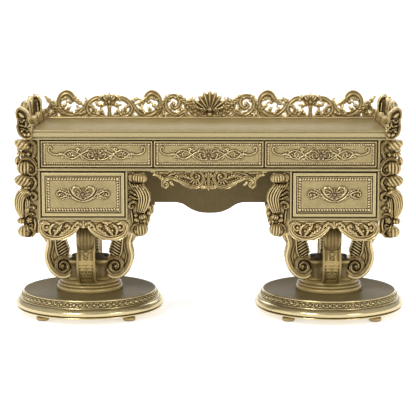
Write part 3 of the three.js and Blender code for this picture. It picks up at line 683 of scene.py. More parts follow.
    # leaf mass between the scrolls
    for a_ in (((46, 108), (49, 114), (44.8, 116.2)), ((60, 107), (64, 104), (66.5, 100)), ((62, 98), (66, 96.5), (69, 97)), ((74, 112), (78, 107.5), (76.5, 104)), ((80, 112.6), (84, 111), (86.5, 108)),
               ((90, 104), (93, 106.5), (92, 110)), ((89, 112), (86, 115), (82, 115.6)), ((99, 98.6), (101, 95.4), (104, 95)), ((98, 113), (101, 109.4), (100.6, 106)), ((120, 98.6), (118, 95.4), (115, 95)),
               ((128.6, 104), (125.6, 106.5), (126.6, 110)), ((121, 113), (118, 109.4), (118.4, 106)), ((130, 112), (133, 115), (137, 115.6)), ((134, 99.5), (137, 97.4), (140, 97.6)), ((145, 112), (141.6, 107.5), (143, 104)),
               ((157, 98), (153, 96.5), (150, 97)), ((158, 107), (154.4, 104), (152, 100.6)), ((164, 112.6), (160.8, 115), (156, 115.8)), ((170, 99), (168.4, 95.6), (170, 92.6)), ((176, 96), (180, 94.6), (184, 96.4)),
               ((178, 112), (182, 108.6), (181.4, 104.6)), ((186, 102), (190, 99), (193, 95.6)), ((188, 106), (191.6, 110.4), (196, 110)), ((168, 112.4), (172, 115.6), (177, 116)), ((199, 108), (196.6, 104), (198.2, 99.6)), ((196, 114), (191, 116), (186, 115.6))):
        S(G(*a_), [5, 8.5, 3.2], [6, 9, 6], "leaf", 5, n=3, k=.7, depth=.28)
        R.disc(G(a_[0])[0], 8.5, 10, 5)
    R.blur(1)
    to3 = lambda u, v, h: (u, 274 - h, v)
    V, Q = R.solid(to3, back_scale=0.62)
    V[:, 1] = np.clip(V[:, 1], 250, 284.5)
    b = Bag(); b.add(V, Q)
    # foot rail
    sec = [(258.5, 847.7), (257.2, 849.5), (257.0, 852.5), (258.6, 855.2), (262, 856.4), (281, 856.4), (284, 854), (284.2, 847.7)]
    m = len(sec)
    RV = [(x, y, z) for x in (-779, 779) for y, z in sec] + [(-779, 270, 851), (779, 270, 851)]
    RQ = [(k, (k + 1) % m, (k + 1) % m + m, k + m) for k in range(m)]
    RT = [((k + 1) % m, k, 2 * m) for k in range(m)] + [(m + k, m + (k + 1) % m, 2 * m + 1) for k in range(m)]
    b.add(np.array(RV, float), np.array(RQ), np.array(RT))
    put("rear_gallery_carving", b.mesh("rear_gallery_carving", cav_iter=7, cav_scale=2.2), M_CARVED, replaces=["rear_gallery"])

rear_gallery()

# ----------------------------------------------------------------------------
# centre apron
# ----------------------------------------------------------------------------
def centre_apron():
    R = Relief(-250, 250, 582, 671, 1.6, sym=True)
    S = R.stroke
    def A(*p):
        return [((x - 210.3) * 4.3, (327 - y) * 4.3) for x, y in p]
    # ground behind the carving
    R.poly([(0, 669), (0, 612), (-38, 604), (-76, 610), (-112, 630), (-150, 642), (-192, 640), (-232, 660), (-246, 669)], 6, smooth=False)
    S([(-247, 667), (0, 667)], [4], [3], "round", 7)
    # main volutes
    S([(-58, 647), (-52, 655), (-42, 648), (-46, 636), (-60, 634), (-72, 646), (-68, 662), (-50, 668), (-30, 660), (-22, 642), (-28, 620), (-46, 605), (-72, 602), (-98, 610), (-122, 624), (-150, 634)],
      [5, 5.5, 6, 6.5, 7, 7, 7, 7, 8, 9, 10, 10, 9, 8, 6, 3], [8, 9, 9, 9, 9, 9, 8, 6], "scroll", 7)
    R.disc((-54, 647), 7, 14, 7)
    # fluted fill under the volute
    for a, l in ((200, 34), (222, 40), (245, 42), (268, 38), (292, 32)):
        r = math.radians(a)
        S([(-52 + 12 * math.cos(r), 646 + 12 * math.sin(r)), (-52 + l * math.cos(r), 646 + l * math.sin(r))], [3, 5, 3], [5, 7, 4], "round", 6)
    # leaf trails to the ends
    S([(-84, 640), (-104, 648), (-124, 650), (-142, 644), (-158, 634)], [6, 12, 13, 10, 4], [5, 8, 7, 4], "leaf", 7, n=6, k=.9, depth=.45)
    S([(-98, 662), (-124, 664), (-152, 660), (-176, 648)], [5, 8, 9, 4], [5, 7, 5], "leaf", 7, n=5, k=.9)
    S([(-136, 628), (-154, 640), (-174, 640), (-190, 628), (-196, 610), (-186, 602), (-176, 610), (-180, 620)], [5, 8, 10, 10, 10, 8, 7, 5], [6, 8, 9, 9, 9, 7], "scroll", 7)
    R.disc((-182, 612), 7, 12, 7)
    S([(-164, 622), (-158, 614), (-150, 610)], [7, 8, 4], [6, 8, 5], "leaf", 7, n=3)
    S([(-196, 626), (-206, 644), (-222, 654), (-242, 652)], [9, 12, 10, 4], [7, 8, 6, 4], "leaf", 7, n=5, k=.9, depth=.45)
    S([(-176, 662), (-204, 664), (-232, 661)], [6, 8, 4], [6, 8, 5], "leaf", 7, n=5)
    for x in (-92, -108, -124):
        R.disc((x, 631 + (x + 108) * -0.45), 4.5, 9, 7)
    # middle: small shell, leaf and drop
    R.fan((0, 636), 32, 30, 150, 5, 8, 8, droop=.2)
    S([(0, 655), (0, 634), (0, 612)], [5, 10, 8], [8, 10, 9], "leaf", 8, n=5)
    S([(0, 620), (0, 602), (0, 586)], [8, 12, 3], [10, 12, 6], "leaf", 7, n=4, k=.7, depth=.25)
    S([(2, 612), (10, 602), (16, 594)], [5, 7, 3], [9, 10, 6], "leaf", 7, n=3, k=.7, depth=.25)
    S([(-2, 616), (-12, 604), (-24, 598), (-30, 604), (-25, 609)], [6, 7, 7, 6, 4], [8, 9, 8], "scroll", 7)
    S([(-10, 628), (-15, 618), (-10, 608)], [5, 6, 4], [6, 8, 6], "leaf", 7, n=3)
    R.blur(1)
    V, Q = R.solid(lambda u, v, h: (u, -268 - h, v), back=-3)
    b = Bag(); b.add(V, Q)
    put("centre_apron_carving", b.mesh("centre_apron_carving", cav_iter=6, cav_scale=1.8), M_APRON, replaces=["centre_apron"])

centre_apron()

# ----------------------------------------------------------------------------
# pedestal aprons: front and rear boards, and longer side boards
# ----------------------------------------------------------------------------
def apron_relief(half, f):
    """Scroll apron of half length `half`; f stretches the pattern along the board."""
    R = Relief(-half, half, 370, 456.6, 1.8, sym=True)
    S = R.stroke
    m = lambda p: [(x * f, z) for x, z in p]
    R.poly([(0, 456), (0, 424), (-30 * f, 424), (-70 * f, 392), (-120 * f, 380), (-170 * f, 400), (-half, 424), (-half, 456)], 5, smooth=False)
    S([(-half, 453), (0, 453)], [4], [3], "round", 6)
    # the big C-scroll with its volute
    S([(-157 * f, 427), (-152 * f, 421), (-158 * f, 414), (-170 * f, 418), (-174 * f, 430), (-165 * f, 442), (-148 * f, 443)], [4, 5, 6, 6, 6, 6, 4], [10, 9, 8, 8], "scroll", 8)
    S(m([(-150, 440), (-168, 446), (-182, 438), (-186, 420), (-178, 400), (-158, 384), (-130, 377), (-100, 378), (-72, 388), (-48, 402), (-30, 418), (-20, 434)]),
      [6, 9, 10.5, 12, 13, 13, 13, 13, 12, 10.5, 9, 5], [8, 10, 12, 12, 12, 11, 9, 6], "scroll", 8)
    R.disc((-158 * f, 427), 7.5, 15, 8)
    # acanthus fill
    S(m([(-140, 392), (-146, 410), (-140, 428), (-124, 440)]), [6, 10, 11, 4], [6, 9, 8, 5], "frond", 8, n=5, k=.8, depth=.5)
    S(m([(-128, 388), (-118, 404), (-104, 420), (-92, 438)]), [6, 11, 12, 4], [6, 10, 9, 5], "leaf", 8, n=6, k=.9, depth=.5)
    S(m([(-106, 386), (-92, 398), (-76, 408), (-62, 424), (-70, 436), (-82, 430)]), [6, 10, 11, 11, 9, 5], [6, 9, 11, 11, 8], "leaf", 8, n=6, k=.9, depth=.45)
    S(m([(-82, 390), (-64, 404), (-48, 420), (-40, 440)]), [5, 8, 9, 4], [6, 8, 8, 5], "leaf", 8, n=5, k=.9, depth=.45)
    S(m([(-118, 446), (-100, 444), (-84, 447)]), [5, 8, 4], [7, 9, 6], "leaf", 7, n=4)
    R.disc((-126 * f, 412), 6, 12, 8); R.disc((-74 * f, 430), 7, 15, 8); R.disc((-104 * f, 438), 5.5, 11, 8)
    # bow at the middle
    S(m([(-2, 430), (-14, 442), (-28, 444), (-34, 434), (-24, 427)]), [7, 9, 10, 8, 5], [9, 11, 10, 8], "leaf", 8, n=4, k=.7, depth=.35)
    S([(0, 450), (0, 438), (0, 424)], [6, 9, 5], [9, 13, 9], "leaf", 8, n=4)
    # end leaves
    if half > 230:
        S([(-half + 6, 452), (-half + 14, 436), (-half + 30, 424), (-half + 46, 410)], [5, 10, 10, 4], [7, 9, 8, 5], "leaf", 7, n=5, k=.9, depth=.45)
    R.blur(1)
    return R

def pedestal_aprons():
    half = 193
    F = apron_relief(half, 1.0)
    Sd = apron_relief(283, 1.38)
    for side, s in (("left", -1), ("right", 1)):
        b = Bag()
        cx = s * PED_X
        V, Q = F.solid(lambda u, v, h: (cx + u, -271 - h, v), back=-2); b.add(V, Q)
        V, Q = F.solid(lambda u, v, h: (cx + u, 270 + h, v), back=-2); b.add(V, Q)
        for t in (-1, 1):
            V, Q = Sd.solid(lambda u, v, h: (cx + t * (176 + h * 0.85), u * 0.955, v), back=-2); b.add(V, Q)
        put(side + "_apron_carving", b.mesh(side + "_apron_carving", cav_iter=6, cav_scale=2.0), M_CARVED, replaces=[side + "_apron"])

pedestal_aprons()

# ----------------------------------------------------------------------------
# drawer fronts: frame moulding, carved border and applied spray in one relief
# ----------------------------------------------------------------------------
def drawer_front(name, low):
    lo, hi = B(name + "_drawer_front")
    x0, x1, z0, z1 = lo[0], hi[0], lo[2], hi[2]
    if not low:
        x0 += 1.0; x1 -= 1.0
    else:
        x0 += 2.0; x1 -= 2.0; z0 += 1.5; z1 -= 1.5
    cx = (x0 + x1) / 2
    cz = 571 if low else 741
    w2, = ((x1 - x0) / 2,)
    R = Relief(-w2, w2, z0 - cz, z1 - cz, 1.6, ground=13.0, sym=True)
    U, V = R.U, R.Vv
    dx = w2 - np.abs(U)
    dz = np.minimum(V - R.v[0], R.v[-1] - V)
    d = np.minimum(dx, dz)
    along = np.where(dz <= dx, U, V)
    span = np.where(dz <= dx, w2, (R.v[-1] - R.v[0]) / 2)
    along = np.where(dz <= dx, U, V - (R.v[0] + R.v[-1]) / 2)
    H = R.H
    if low:
        H[:] = np.where(d < 13, 20.3 - 1.6 * np.clip((2.2 - d) / 2.2, 0, 1) ** 2 - 1.2 * np.clip((d - 9.5) / 3.5, 0, 1) ** 2, H)
        H[:] = np.where((d >= 13) & (d < 16), 9.0, H)
        H[:] = np.where((d >= 16) & (d < 19.4), 13 + 3.2 * np.sqrt(np.clip(1 - ((d - 17.7) / 1.7) ** 2, 0, 1)), H)
        b0, b1, pitch = 20.4, 36.5, 12.2
    else:
        H[:] = np.where(d < 6.4, 16 + 4.2 * np.sqrt(np.clip(1 - ((d - 3.2) / 3.2) ** 2, 0, 1)), H)
        H[:] = np.where((d >= 6.4) & (d < 8.0), 11.4, H)
        b0, b1, pitch = 9.2, 20.6, 7.7
    # border: alternating eggs and small tongues between two fine beads
    n = np.maximum(np.round(span / pitch), 1)
    p = span / n
    fr = (along / p) % 1.0 - 0.5
    mid = (b0 + b1) / 2; hw = (b1 - b0) / 2
    yb = (d - mid) / hw
    rnd = RNG.random(4096)
    cell = (np.floor(along / p).astype(int) + 7 * (dz <= dx) + 13 * (V > 0)) % 4096
    amp = 0.62 + 0.60 * rnd[cell]
    off = 0.18 * (rnd[(cell * 7 + 5) % 4096] - 0.5)
    yy = yb + off
    egg = np.sqrt(np.clip(1 - ((fr + 0.16 * yy) / 0.38) ** 2 - (yy / 0.80) ** 2, 0, 1)) * (0.72 + 0.28 * np.abs(np.cos(PI * 3 * yy)))
    dart = np.clip(1 - np.abs(np.abs(fr) - 0.5) / 0.12, 0, 1) * np.clip((yb + 0.85) / 1.2, 0, 1) * (np.abs(yb) < 0.9)
    rim = np.exp(-((yb + 0.96) / 0.10) ** 2)
    band = 11.2 + 4.6 * egg * amp + 3.0 * dart * amp + 2.0 * rim
    H[:] = np.where((d >= b0) & (d < b1), band, H)
    corner = (dx < b1) & (dz < b1) & (dx >= b0) & (dz >= b0)
    H[:] = np.where(corner, 12.6, H)
    R.H = H
    zc = [R.v[0] + mid, R.v[-1] - mid]
    for z in zc:
        R.disc((w2 - mid, z), hw * 0.95, 4.4, 12.4, "flower", 4, rot=PI / 4)
    S = lambda pts, w, h, kind="round", **k: R.stroke(pts, w, h, kind, k.pop("base", 0.0), mode="over", **k)
    def S(pts, w, h, kind="round", n=4, k=.6, depth=.4, base=13):
        R.stroke(pts, w, h, kind, base, n, k, depth, "max")
    if low:
        S([(-14, 22), (-26, 30), (-40, 27), (-46, 14), (-40, 0), (-26, -12), (-8, -22), (0, -24)], [3, 4.5, 5, 5, 5, 5, 4.5, 4], [5, 7, 8, 8, 7, 6], "scroll")
        S([(-66, 22), (-60, 8), (-50, -8), (-34, -20), (-16, -29), (0, -32)], [1.8, 3, 4, 4.2, 3.6, 3], [4, 7, 8, 7, 6], "round")
        S([(-54, 26), (-50, 12), (-42, 0)], [2, 4, 3.5], [5, 7, 6], "leaf", 4)
        S([(-62, -14), (-46, -18), (-30, -26), (-14, -34)], [2, 4, 4, 2], [4, 6, 6, 4], "leaf", 5)
        S([(-56, -4), (-70, 2), (-84, 10), (-98, 13), (-110, 8), (-112, -3), (-104, -8), (-97, -2)], [3, 5, 6, 6, 5, 4.5, 4, 3], [6, 8, 8, 8, 7, 6], "leaf", 8, .8, .4)
        S([(-62, -8), (-78, -10), (-92, -16), (-106, -18)], [3, 5.5, 5, 2], [5, 7, 5], "leaf", 5, .8, .4)
        S([(-66, 8), (-76, 16), (-88, 20)], [3, 4.5, 2], [5, 7, 4], "leaf", 4, .8)
        R.disc((-102, 0), 5, 8, 13); R.disc((-84, -3), 4.4, 7.5, 13); R.disc((-70, -2), 4, 7, 13)
        for a in (60, 90, 120, 30, 150, 205, 335, 240, 300, 180, 0):
            r = math.radians(a)
            R.stroke([(13 * math.cos(r), 13 * math.sin(r)), (32 * math.cos(r), 27 * math.sin(r))], [5, 6.4, 2], [8, 9, 4], "leaf", 13, 3, .5, .3, "max", False, True)
        R.disc((0, 0), 17, 8, 14, "flower", 6)
    else:
        S([(-194, 29), (-199, 34), (-206, 27), (-204, 14), (-192, 5), (-174, 0), (-154, 1)], [3, 3.2, 3.2, 3.4, 3.6, 3.6, 3.4], [5, 6, 6, 6, 6], "round")
        R.disc((-193, 27), 4.4, 6.5, 13)
        S([(-168, 0), (-154, 4), (-138, 0), (-126, -8)], [2.5, 7, 8, 3], [5, 8, 7, 4], "leaf", 5, .8, .5)
        S([(-152, -4), (-142, -9), (-130, -12)], [2, 4.5, 2], [4, 6, 4], "leaf", 4)
        S([(-136, 8), (-122, 17), (-106, 19), (-88, 13), (-70, 1), (-54, -9), (-38, -18), (-20, -21), (-6, -20)], [3, 3.2, 3.4, 3.6, 3.6, 3.4, 3.4, 3.6, 3], [5, 6, 6, 6, 7, 6], "round")
        S([(-134, -4), (-120, -14), (-104, -17), (-88, -12), (-70, 1), (-52, 11), (-36, 17), (-20, 16)], [3, 3.2, 3.4, 3.6, 3.8, 3.6, 3.4, 3], [5, 6, 6, 6, 7, 6], "round")
        S([(-84, 11), (-78, 20), (-68, 26), (-60, 30)], [3, 5, 4.5, 2], [5, 7, 6], "leaf", 4, .8, .45)
        S([(-80, 14), (-86, 24), (-78, 30)], [2.4, 3.6, 2.4], [5, 6, 5], "round")
        R.disc((-76, 26), 4.6, 7.5, 13)
        S([(-70, -3), (-62, -14), (-52, -21)], [3, 5, 2], [5, 7, 5], "leaf", 4, .8, .45)
        R.disc((-58, -17), 4.4, 7.5, 13)
        S([(-104, 14), (-112, 5), (-110, -6)], [2.5, 4, 2], [4, 6, 4], "leaf", 3)
        R.disc((-122, 1), 4.6, 7.5, 13); R.disc((-98, -4), 3.6, 6, 13)
        S([(-48, 13), (-38, 24), (-24, 29)], [2.5, 4.6, 2.5], [5, 7, 5], "leaf", 4, .8, .45)
        S([(-30, -16), (-38, -3), (-34, 8)], [2.5, 5, 3], [5, 7, 5], "leaf", 3)
        for a in (60, 90, 120, 30, 150, 205, 335, 240, 300, 180, 0):
            r = math.radians(a)
            R.stroke([(11 * math.cos(r), 11 * math.sin(r)), (27 * math.cos(r), 23 * math.sin(r))], [4.4, 5.6, 2], [7, 8, 4], "leaf", 13, 3, .5, .3, "max", False, True)
        R.disc((0, 0), 14, 8, 14, "flower", 6)
    # loose leaves along the spray
    for side_ in range(26 if not low else 16):
        lx = (30 + 128 * RNG.random()) if not low else (34 + 66 * RNG.random())
        lz = (RNG.random() - .5) * (34 if not low else 40)
        an = RNG.random() * 2 * PI
        ll = 5 + 4 * RNG.random()
        R.stroke([(lx, lz), (lx + ll * math.cos(an), lz + ll * math.sin(an) * .7), (lx + 1.7 * ll * math.cos(an + .5), lz + 1.7 * ll * math.sin(an + .5) * .7)], [2.2, 3.2, 1.2], [4, 5.5, 3], "leaf", 12.4, 3, .6, .35)
    R.blur(1)
    V, Q = R.solid(lambda u, v, h: (cx + u, -267 - h, cz + v), back=0, smooth=0)
    b = Bag(); b.add(V, Q)
    me = b.mesh(name + "_drawer_front_carving", cav_iter=6, cav_scale=1.1, smooth_deg=60)
    for mt in (M_PANEL, M_BORDER, M_SPRAY):
        me.materials.append(mt)
    pc = np.zeros(len(me.polygons) * 3, np.float32); me.polygons.foreach_get("center", pc); pc = pc.reshape(-1, 3) * 1000
    fx, fz, fh = pc[:, 0] - cx, pc[:, 2] - cz, -267 - pc[:, 1]
    fd = np.minimum(w2 - np.abs(fx), np.minimum(fz - R.v[0], R.v[-1] - fz))
    ix = np.where((fd > b0) & (fd < b1), 1, np.where((fd >= b1) & (fh > 13.6), 2, 0))
    me.polygons.foreach_set("material_index", ix.astype(np.int32))
    o = put(name + "_drawer_front_carving", me, M_PANEL, name + "_drawer", [name + "_drawer_front"])
    # flower knob
    kr = 17.5 if low else 15.0
    prof = [(0.42 * kr, 0), (0.46 * kr, 3), (0.40 * kr, 7), (0.50 * kr, 9.5), (0.80 * kr, 11), (1.0 * kr, 13.6), (1.02 * kr, 16), (0.90 * kr, 18.4), (0.74 * kr, 19.6), (0.62 * kr, 19.0), (0.52 * kr, 18.6), (0.44 * kr, 20.2), (0.36 * kr, 22.6), (0.24 * kr, 24.2), (0.10 * kr, 24.9)]
    def dp(T, Rr, Z):
        pet = np.abs(np.cos(3 * T)) ** 0.6
        m = np.clip((Z - 8) / 3, 0, 1) * np.clip((Rr - 0.5 * kr) / (0.2 * kr), 0, 1)
        return -m * (1 - pet) * 0.26 * Rr
    V, Q, T = closed_lathe(prof, 72, dp)
    W = np.stack([cx + V[:, 0], -279.6 - V[:, 2], cz + V[:, 1]], 1)
    b = Bag(); b.add(W, Q, T)
    put(name + "_drawer_rosette", b.mesh(name + "_drawer_rosette", cav_iter=4, cav_scale=0.8), M_BRONZE, name + "_drawer", [name + "_drawer_knob"])

for _d, _l in (("upper_left", 0), ("upper_centre", 0), ("upper_right", 0), ("lower_left", 1), ("lower_right", 1)):
    drawer_front(_d, _l)

# ----------------------------------------------------------------------------
# top board
# ----------------------------------------------------------------------------
def top_board():
    sec = [(-14, 806), (-2, 806), (0.6, 806.6), (1.8, 808.4), (1.8, 811.2), (0.4, 812.6), (-3.2, 813.2), (-3.8, 815.2), (-3.0, 816.6), (-1.0, 817.6), (0.2, 820), (1.2, 825), (2.6, 830), (3.6, 834.4), (3.4, 836.4), (1.0, 837.2), (0.2, 838.6), (0.8, 840.2), (3.4, 840.8), (4.8, 842.2), (5.0, 844.4), (4.0, 846.4), (1.6, 847.3), (-3, 847.5)]
    X0, Y0, Y1 = 779.8, -293.8, 290.8
    # points for a fine fillet round the writing field, not used; the field itself is built further down
    inner = [(-30, 847.5, 0), (-31.5, 848.4, 0)]
    rings = []
    for o, z in sec:
        rings.append([(-X0 - o, Y0 - o, z), (X0 + o, Y0 - o, z), (X0 + o, Y1, z), (-X0 - o, Y1, z)])
    V = np.array(rings, float).reshape(-1, 3)
    n = len(sec)
    Q = []
    for i in range(n - 1):
        for k in range(4):
            a, b_ = i * 4 + k, i * 4 + (k + 1) % 4
            Q.append((a, b_, b_ + 4, a + 4))
    Q.append((3, 2, 1, 0)); t = (n - 1) * 4; Q.append((t, t + 1, t + 2, t + 3))
    b = Bag(); b.add(V, Q)
    # field: a low slab with a rounded edge
    fs = [(-6, 846.5), (0, 847.4), (0.0, 848.0), (-0.8, 848.5)]
    rings = []
    for o, z in fs:
        rings.append([(-744 - o, -289 - o, z), (744 + o, -289 - o, z), (744 + o, 256 + o, z), (-744 - o, 256 + o, z)])
    V = np.array(rings, float).reshape(-1, 3)
    Q = []
    for i in range(len(fs) - 1):
        for k in range(4):
            a, b_ = i * 4 + k, i * 4 + (k + 1) % 4
            Q.append((a, b_, b_ + 4, a + 4))
    Q.append((3, 2, 1, 0)); t = (len(fs) - 1) * 4; Q.append((t, t + 1, t + 2, t + 3))
    b.add(V, Q)
    me = b.mesh("desktop_board", cav_iter=1, cav_scale=8, smooth_deg=40)
    me.materials.append(M_TOP)
    me.materials.append(M_EDGE)
    for p_ in me.polygons:
        p_.material_index = 0 if p_.normal.z > 0.9 else 1
    put("desktop_board", me, M_TOP, replaces=["desktop"])

top_board()

# ----------------------------------------------------------------------------
# plinths, hubs, feet
# ----------------------------------------------------------------------------
def pedestal_round():
    prof = [(300, 26.2), (322, 26.2), (327, 27), (330.5, 29.4), (330.8, 31.6), (328, 34), (325.4, 35.4), (326.4, 37.2), (331, 39.6), (334.6, 43.4), (335.8, 48), (334.8, 53), (331.4, 58.2), (326, 62.6), (320, 65.8), (315.6, 67.4), (313.2, 69), (313.0, 71), (311.6, 73.2), (309, 74.6), (306.6, 76), (305.2, 78), (302.4, 84), (300, 90), (298.4, 95.2), (297.0, 96.4), (297.4, 98), (298.6, 99.6), (298.4, 102), (296.4, 104.2), (293.2, 105.2), (290, 105.1), (288.4, 104.2)]
    V, Q, T = closed_lathe(prof, 192)
    # frieze of linked ovals
    m = 66
    rows = np.linspace(0, 1, 15)
    r0, r1, za, zb = 306.4, 299.6, 77.4, 95.6
    fp = [(296, za - 1)] + [(r0 + (r1 - r0) * t, za + (zb - za) * t) for t in rows] + [(290, zb + 1)]
    def dp(Tt, Rr, Z):
        t = np.clip((Z - za) / (zb - za), 0, 1)
        fr = (Tt / (2 * PI) * m) % 1.0 - 0.5
        y = (t - 0.5) * 2
        e = np.sqrt((fr / 0.42) ** 2 + (y / 0.74) ** 2)
        ring = np.exp(-((e - 0.88) / 0.17) ** 2)
        core = np.sqrt(np.clip(1 - (e / 0.42) ** 2, 0, 1))
        link = np.exp(-((np.abs(fr) - 0.5) / 0.07) ** 2) * (np.abs(y) < 0.5)
        rim = np.exp(-((np.abs(y) - 0.96) / 0.10) ** 2)
        inside = (Z > za - 0.5) & (Z < zb + 0.5)
        return inside * (5.4 * ring + 5.2 * core + 4.2 * link + 3.4 * rim + 0.2)
    FV, FQ = lathe(fp, m * 14, dp)
    # close the frieze ring behind
    segs = m * 14; mm = len(fp)
    i = np.arange(segs); k = (i + 1) % segs
    FB = np.stack([i * mm, i * mm + mm - 1, k * mm + mm - 1, k * mm], 1)
    hub = [(60, 104.4), (146, 104.4), (147.2, 106), (147.2, 119), (145.6, 121.4), (141.6, 123), (140.4, 124.6), (141.8, 127), (143.4, 130), (142.8, 133.4), (139, 136), (133, 137.2), (129, 138.6), (127.4, 141), (127.4, 143.4), (124.6, 146.6), (119, 149.6), (114, 152.4), (92, 152.6)]
    core = [(90, 150), (92, 156), (84, 160), (79, 168), (77, 182), (77, 206), (79, 222), (82, 232), (84, 238), (83, 244), (78, 249), (66, 252), (46, 254), (24, 255), (6, 255.4)]
    def dc(Tt, Rr, Z):
        s = np.sin(2 * Tt) ** 2
        m_ = np.clip((Z - 150) / 8, 0, 1) * np.clip((262 - Z) / 14, 0, 1)
        arch = np.clip((Z - 172) / 6, 0, 1) * np.clip((232 - Z) / 8, 0, 1)
        ph = np.abs(((Tt / (PI / 2)) % 1.0) - 0.5) * 2  # 0 at the diagonals
        panel = np.clip(1 - (ph / 0.42) ** 4, 0, 1) * arch
        return m_ * ((-15 + 44 * s) * (Rr / 80)) - 5.0 * (panel > 0.2) * m_
    CV, CQ, CT = closed_lathe(core, 120, dc)
    HV, HQ, HT = closed_lathe(hub, 144)
    foot = [(14, 0), (19, 0), (24, 1.6), (27.6, 5.4), (28.8, 10), (27.8, 15), (24.4, 19), (20.6, 21.2), (19.4, 23), (20.4, 25.7), (8, 25.7)]
    KV, KQ, KT = closed_lathe(foot, 40)
    for side, s in (("left", -1), ("right", 1)):
        c = np.array([s * PED_X, 0, 0.0])
        b = Bag(); b.add(V + c, Q, T)
        pm = b.mesh(side + "_plinth_moulded", cav_iter=4, cav_scale=1.8, smooth_deg=60)
        pm.materials.append(M_PLINTH); pm.materials.append(M_PTOP)
        for p_ in pm.polygons:
            if p_.normal.z > 0.95 and p_.center.z > 0.1035:
                p_.material_index = 1
        put(side + "_plinth_moulded", pm, M_PLINTH, replaces=[side + "_plinth"])
        b = Bag(); b.add(FV + c, np.concatenate([FQ, FB]))
        put(side + "_plinth_frieze", b.mesh(side + "_plinth_frieze", cav_iter=9, cav_scale=2.6, smooth_deg=70), M_PLINTH)
        b = Bag(); b.add(HV + c, HQ, HT); b.add(CV + c, CQ, CT)
        hm = b.mesh(side + "_hub_turned", cav_iter=4, cav_scale=2.0, smooth_deg=60)
        hm.materials.append(M_HUB); hm.materials.append(M_SHADE)
        # upward faces of the hub top take the painted-shade material
        for p_ in hm.polygons:
            if p_.center.z > 0.238 and p_.normal.z > 0.3:
                p_.material_index = 1
        put(side + "_hub_turned", hm, M_HUB, replaces=[side + "_hub"])
        for fb in ("front", "rear"):
            for io in ("outer", "inner"):
                nm = f"{side}_{fb}_{io}_foot"
                lo, hi = B(nm)
                k = np.array([(lo[0] + hi[0]) / 2, (lo[1] + hi[1]) / 2, 0.0])
                b = Bag(); b.add(KV + k, KQ, KT)
                # bun feet take the painted-shade copy of the gold
                put(nm + "_bun", b.mesh(nm + "_bun", cav_iter=3, cav_scale=2), M_LEG_SHADED, replaces=[nm])

pedestal_round()

# ----------------------------------------------------------------------------
# carved brackets: a two-sided relief for the cheeks, a relief wrapped round the edge, and rolled ends
# ----------------------------------------------------------------------------
def edge_wrap(path, width, step, draw, ground=1.5, flip=1):
    """Relief along a planar edge path [(a, z)...]; returns V in (a, w, z) and faces. draw(R, L) carves it: u across, v along."""
    P = curve(path, 1.5)
    for _ in range(24):
        P[1:-1] = (P[:-2] + 2 * P[1:-1] + P[2:]) / 4
    L = np.concatenate([[0], np.cumsum(np.linalg.norm(np.diff(P, axis=0), axis=1))])
    # soften the line so that the wrap follows the mass, not every nick
    T = np.gradient(P, axis=0); T /= np.linalg.norm(T, axis=1)[:, None] + 1e-9
    for _ in range(6):
        T[1:-1] = (T[:-2] + 2 * T[1:-1] + T[2:]) / 4
    N = np.stack([-T[:, 1], T[:, 0]], 1) * flip
    R = Relief(-width, width, 0, L[-1], step, ground=ground)
    draw(R, L[-1])
    def to3(u, v, h):
        a = np.interp(v, L, P[:, 0]); z = np.interp(v, L, P[:, 1])
        na = np.interp(v, L, N[:, 0]); nz = np.interp(v, L, N[:, 1])
        return a + na * h, u, z + nz * h
    return R.solid(to3, back=-7, smooth=0)


def place_xyz(V, ang, c, clamp=None):
    """local (a, w, z) -> world with `a` along angle ang"""
    ca, sa = math.cos(ang), math.sin(ang)
    W = np.stack([c[0] + V[:, 0] * ca - V[:, 1] * sa, c[1] + V[:, 0] * sa + V[:, 1] * ca, V[:, 2] + (c[2] if len(c) > 2 else 0)], 1)
    if clamp:
        W = clamp(W)
    return W


# ---- scroll legs ----
LEG_EDGE = [(168, 455), (173, 430), (182, 408), (193, 388), (197.5, 366), (195, 344), (188.5, 326), (186, 308), (190, 288), (195.5, 264), (194.5, 240), (187, 214), (174, 190), (156, 170), (136, 158), (116, 155), (98, 158), (82, 169)]
LEG_OUT = LEG_EDGE + [(72, 188), (70.5, 208), (75, 230), (86, 246), (92, 258), (91, 278), (97, 300), (106, 330), (112, 362), (120, 400), (128, 430), (130, 455)]

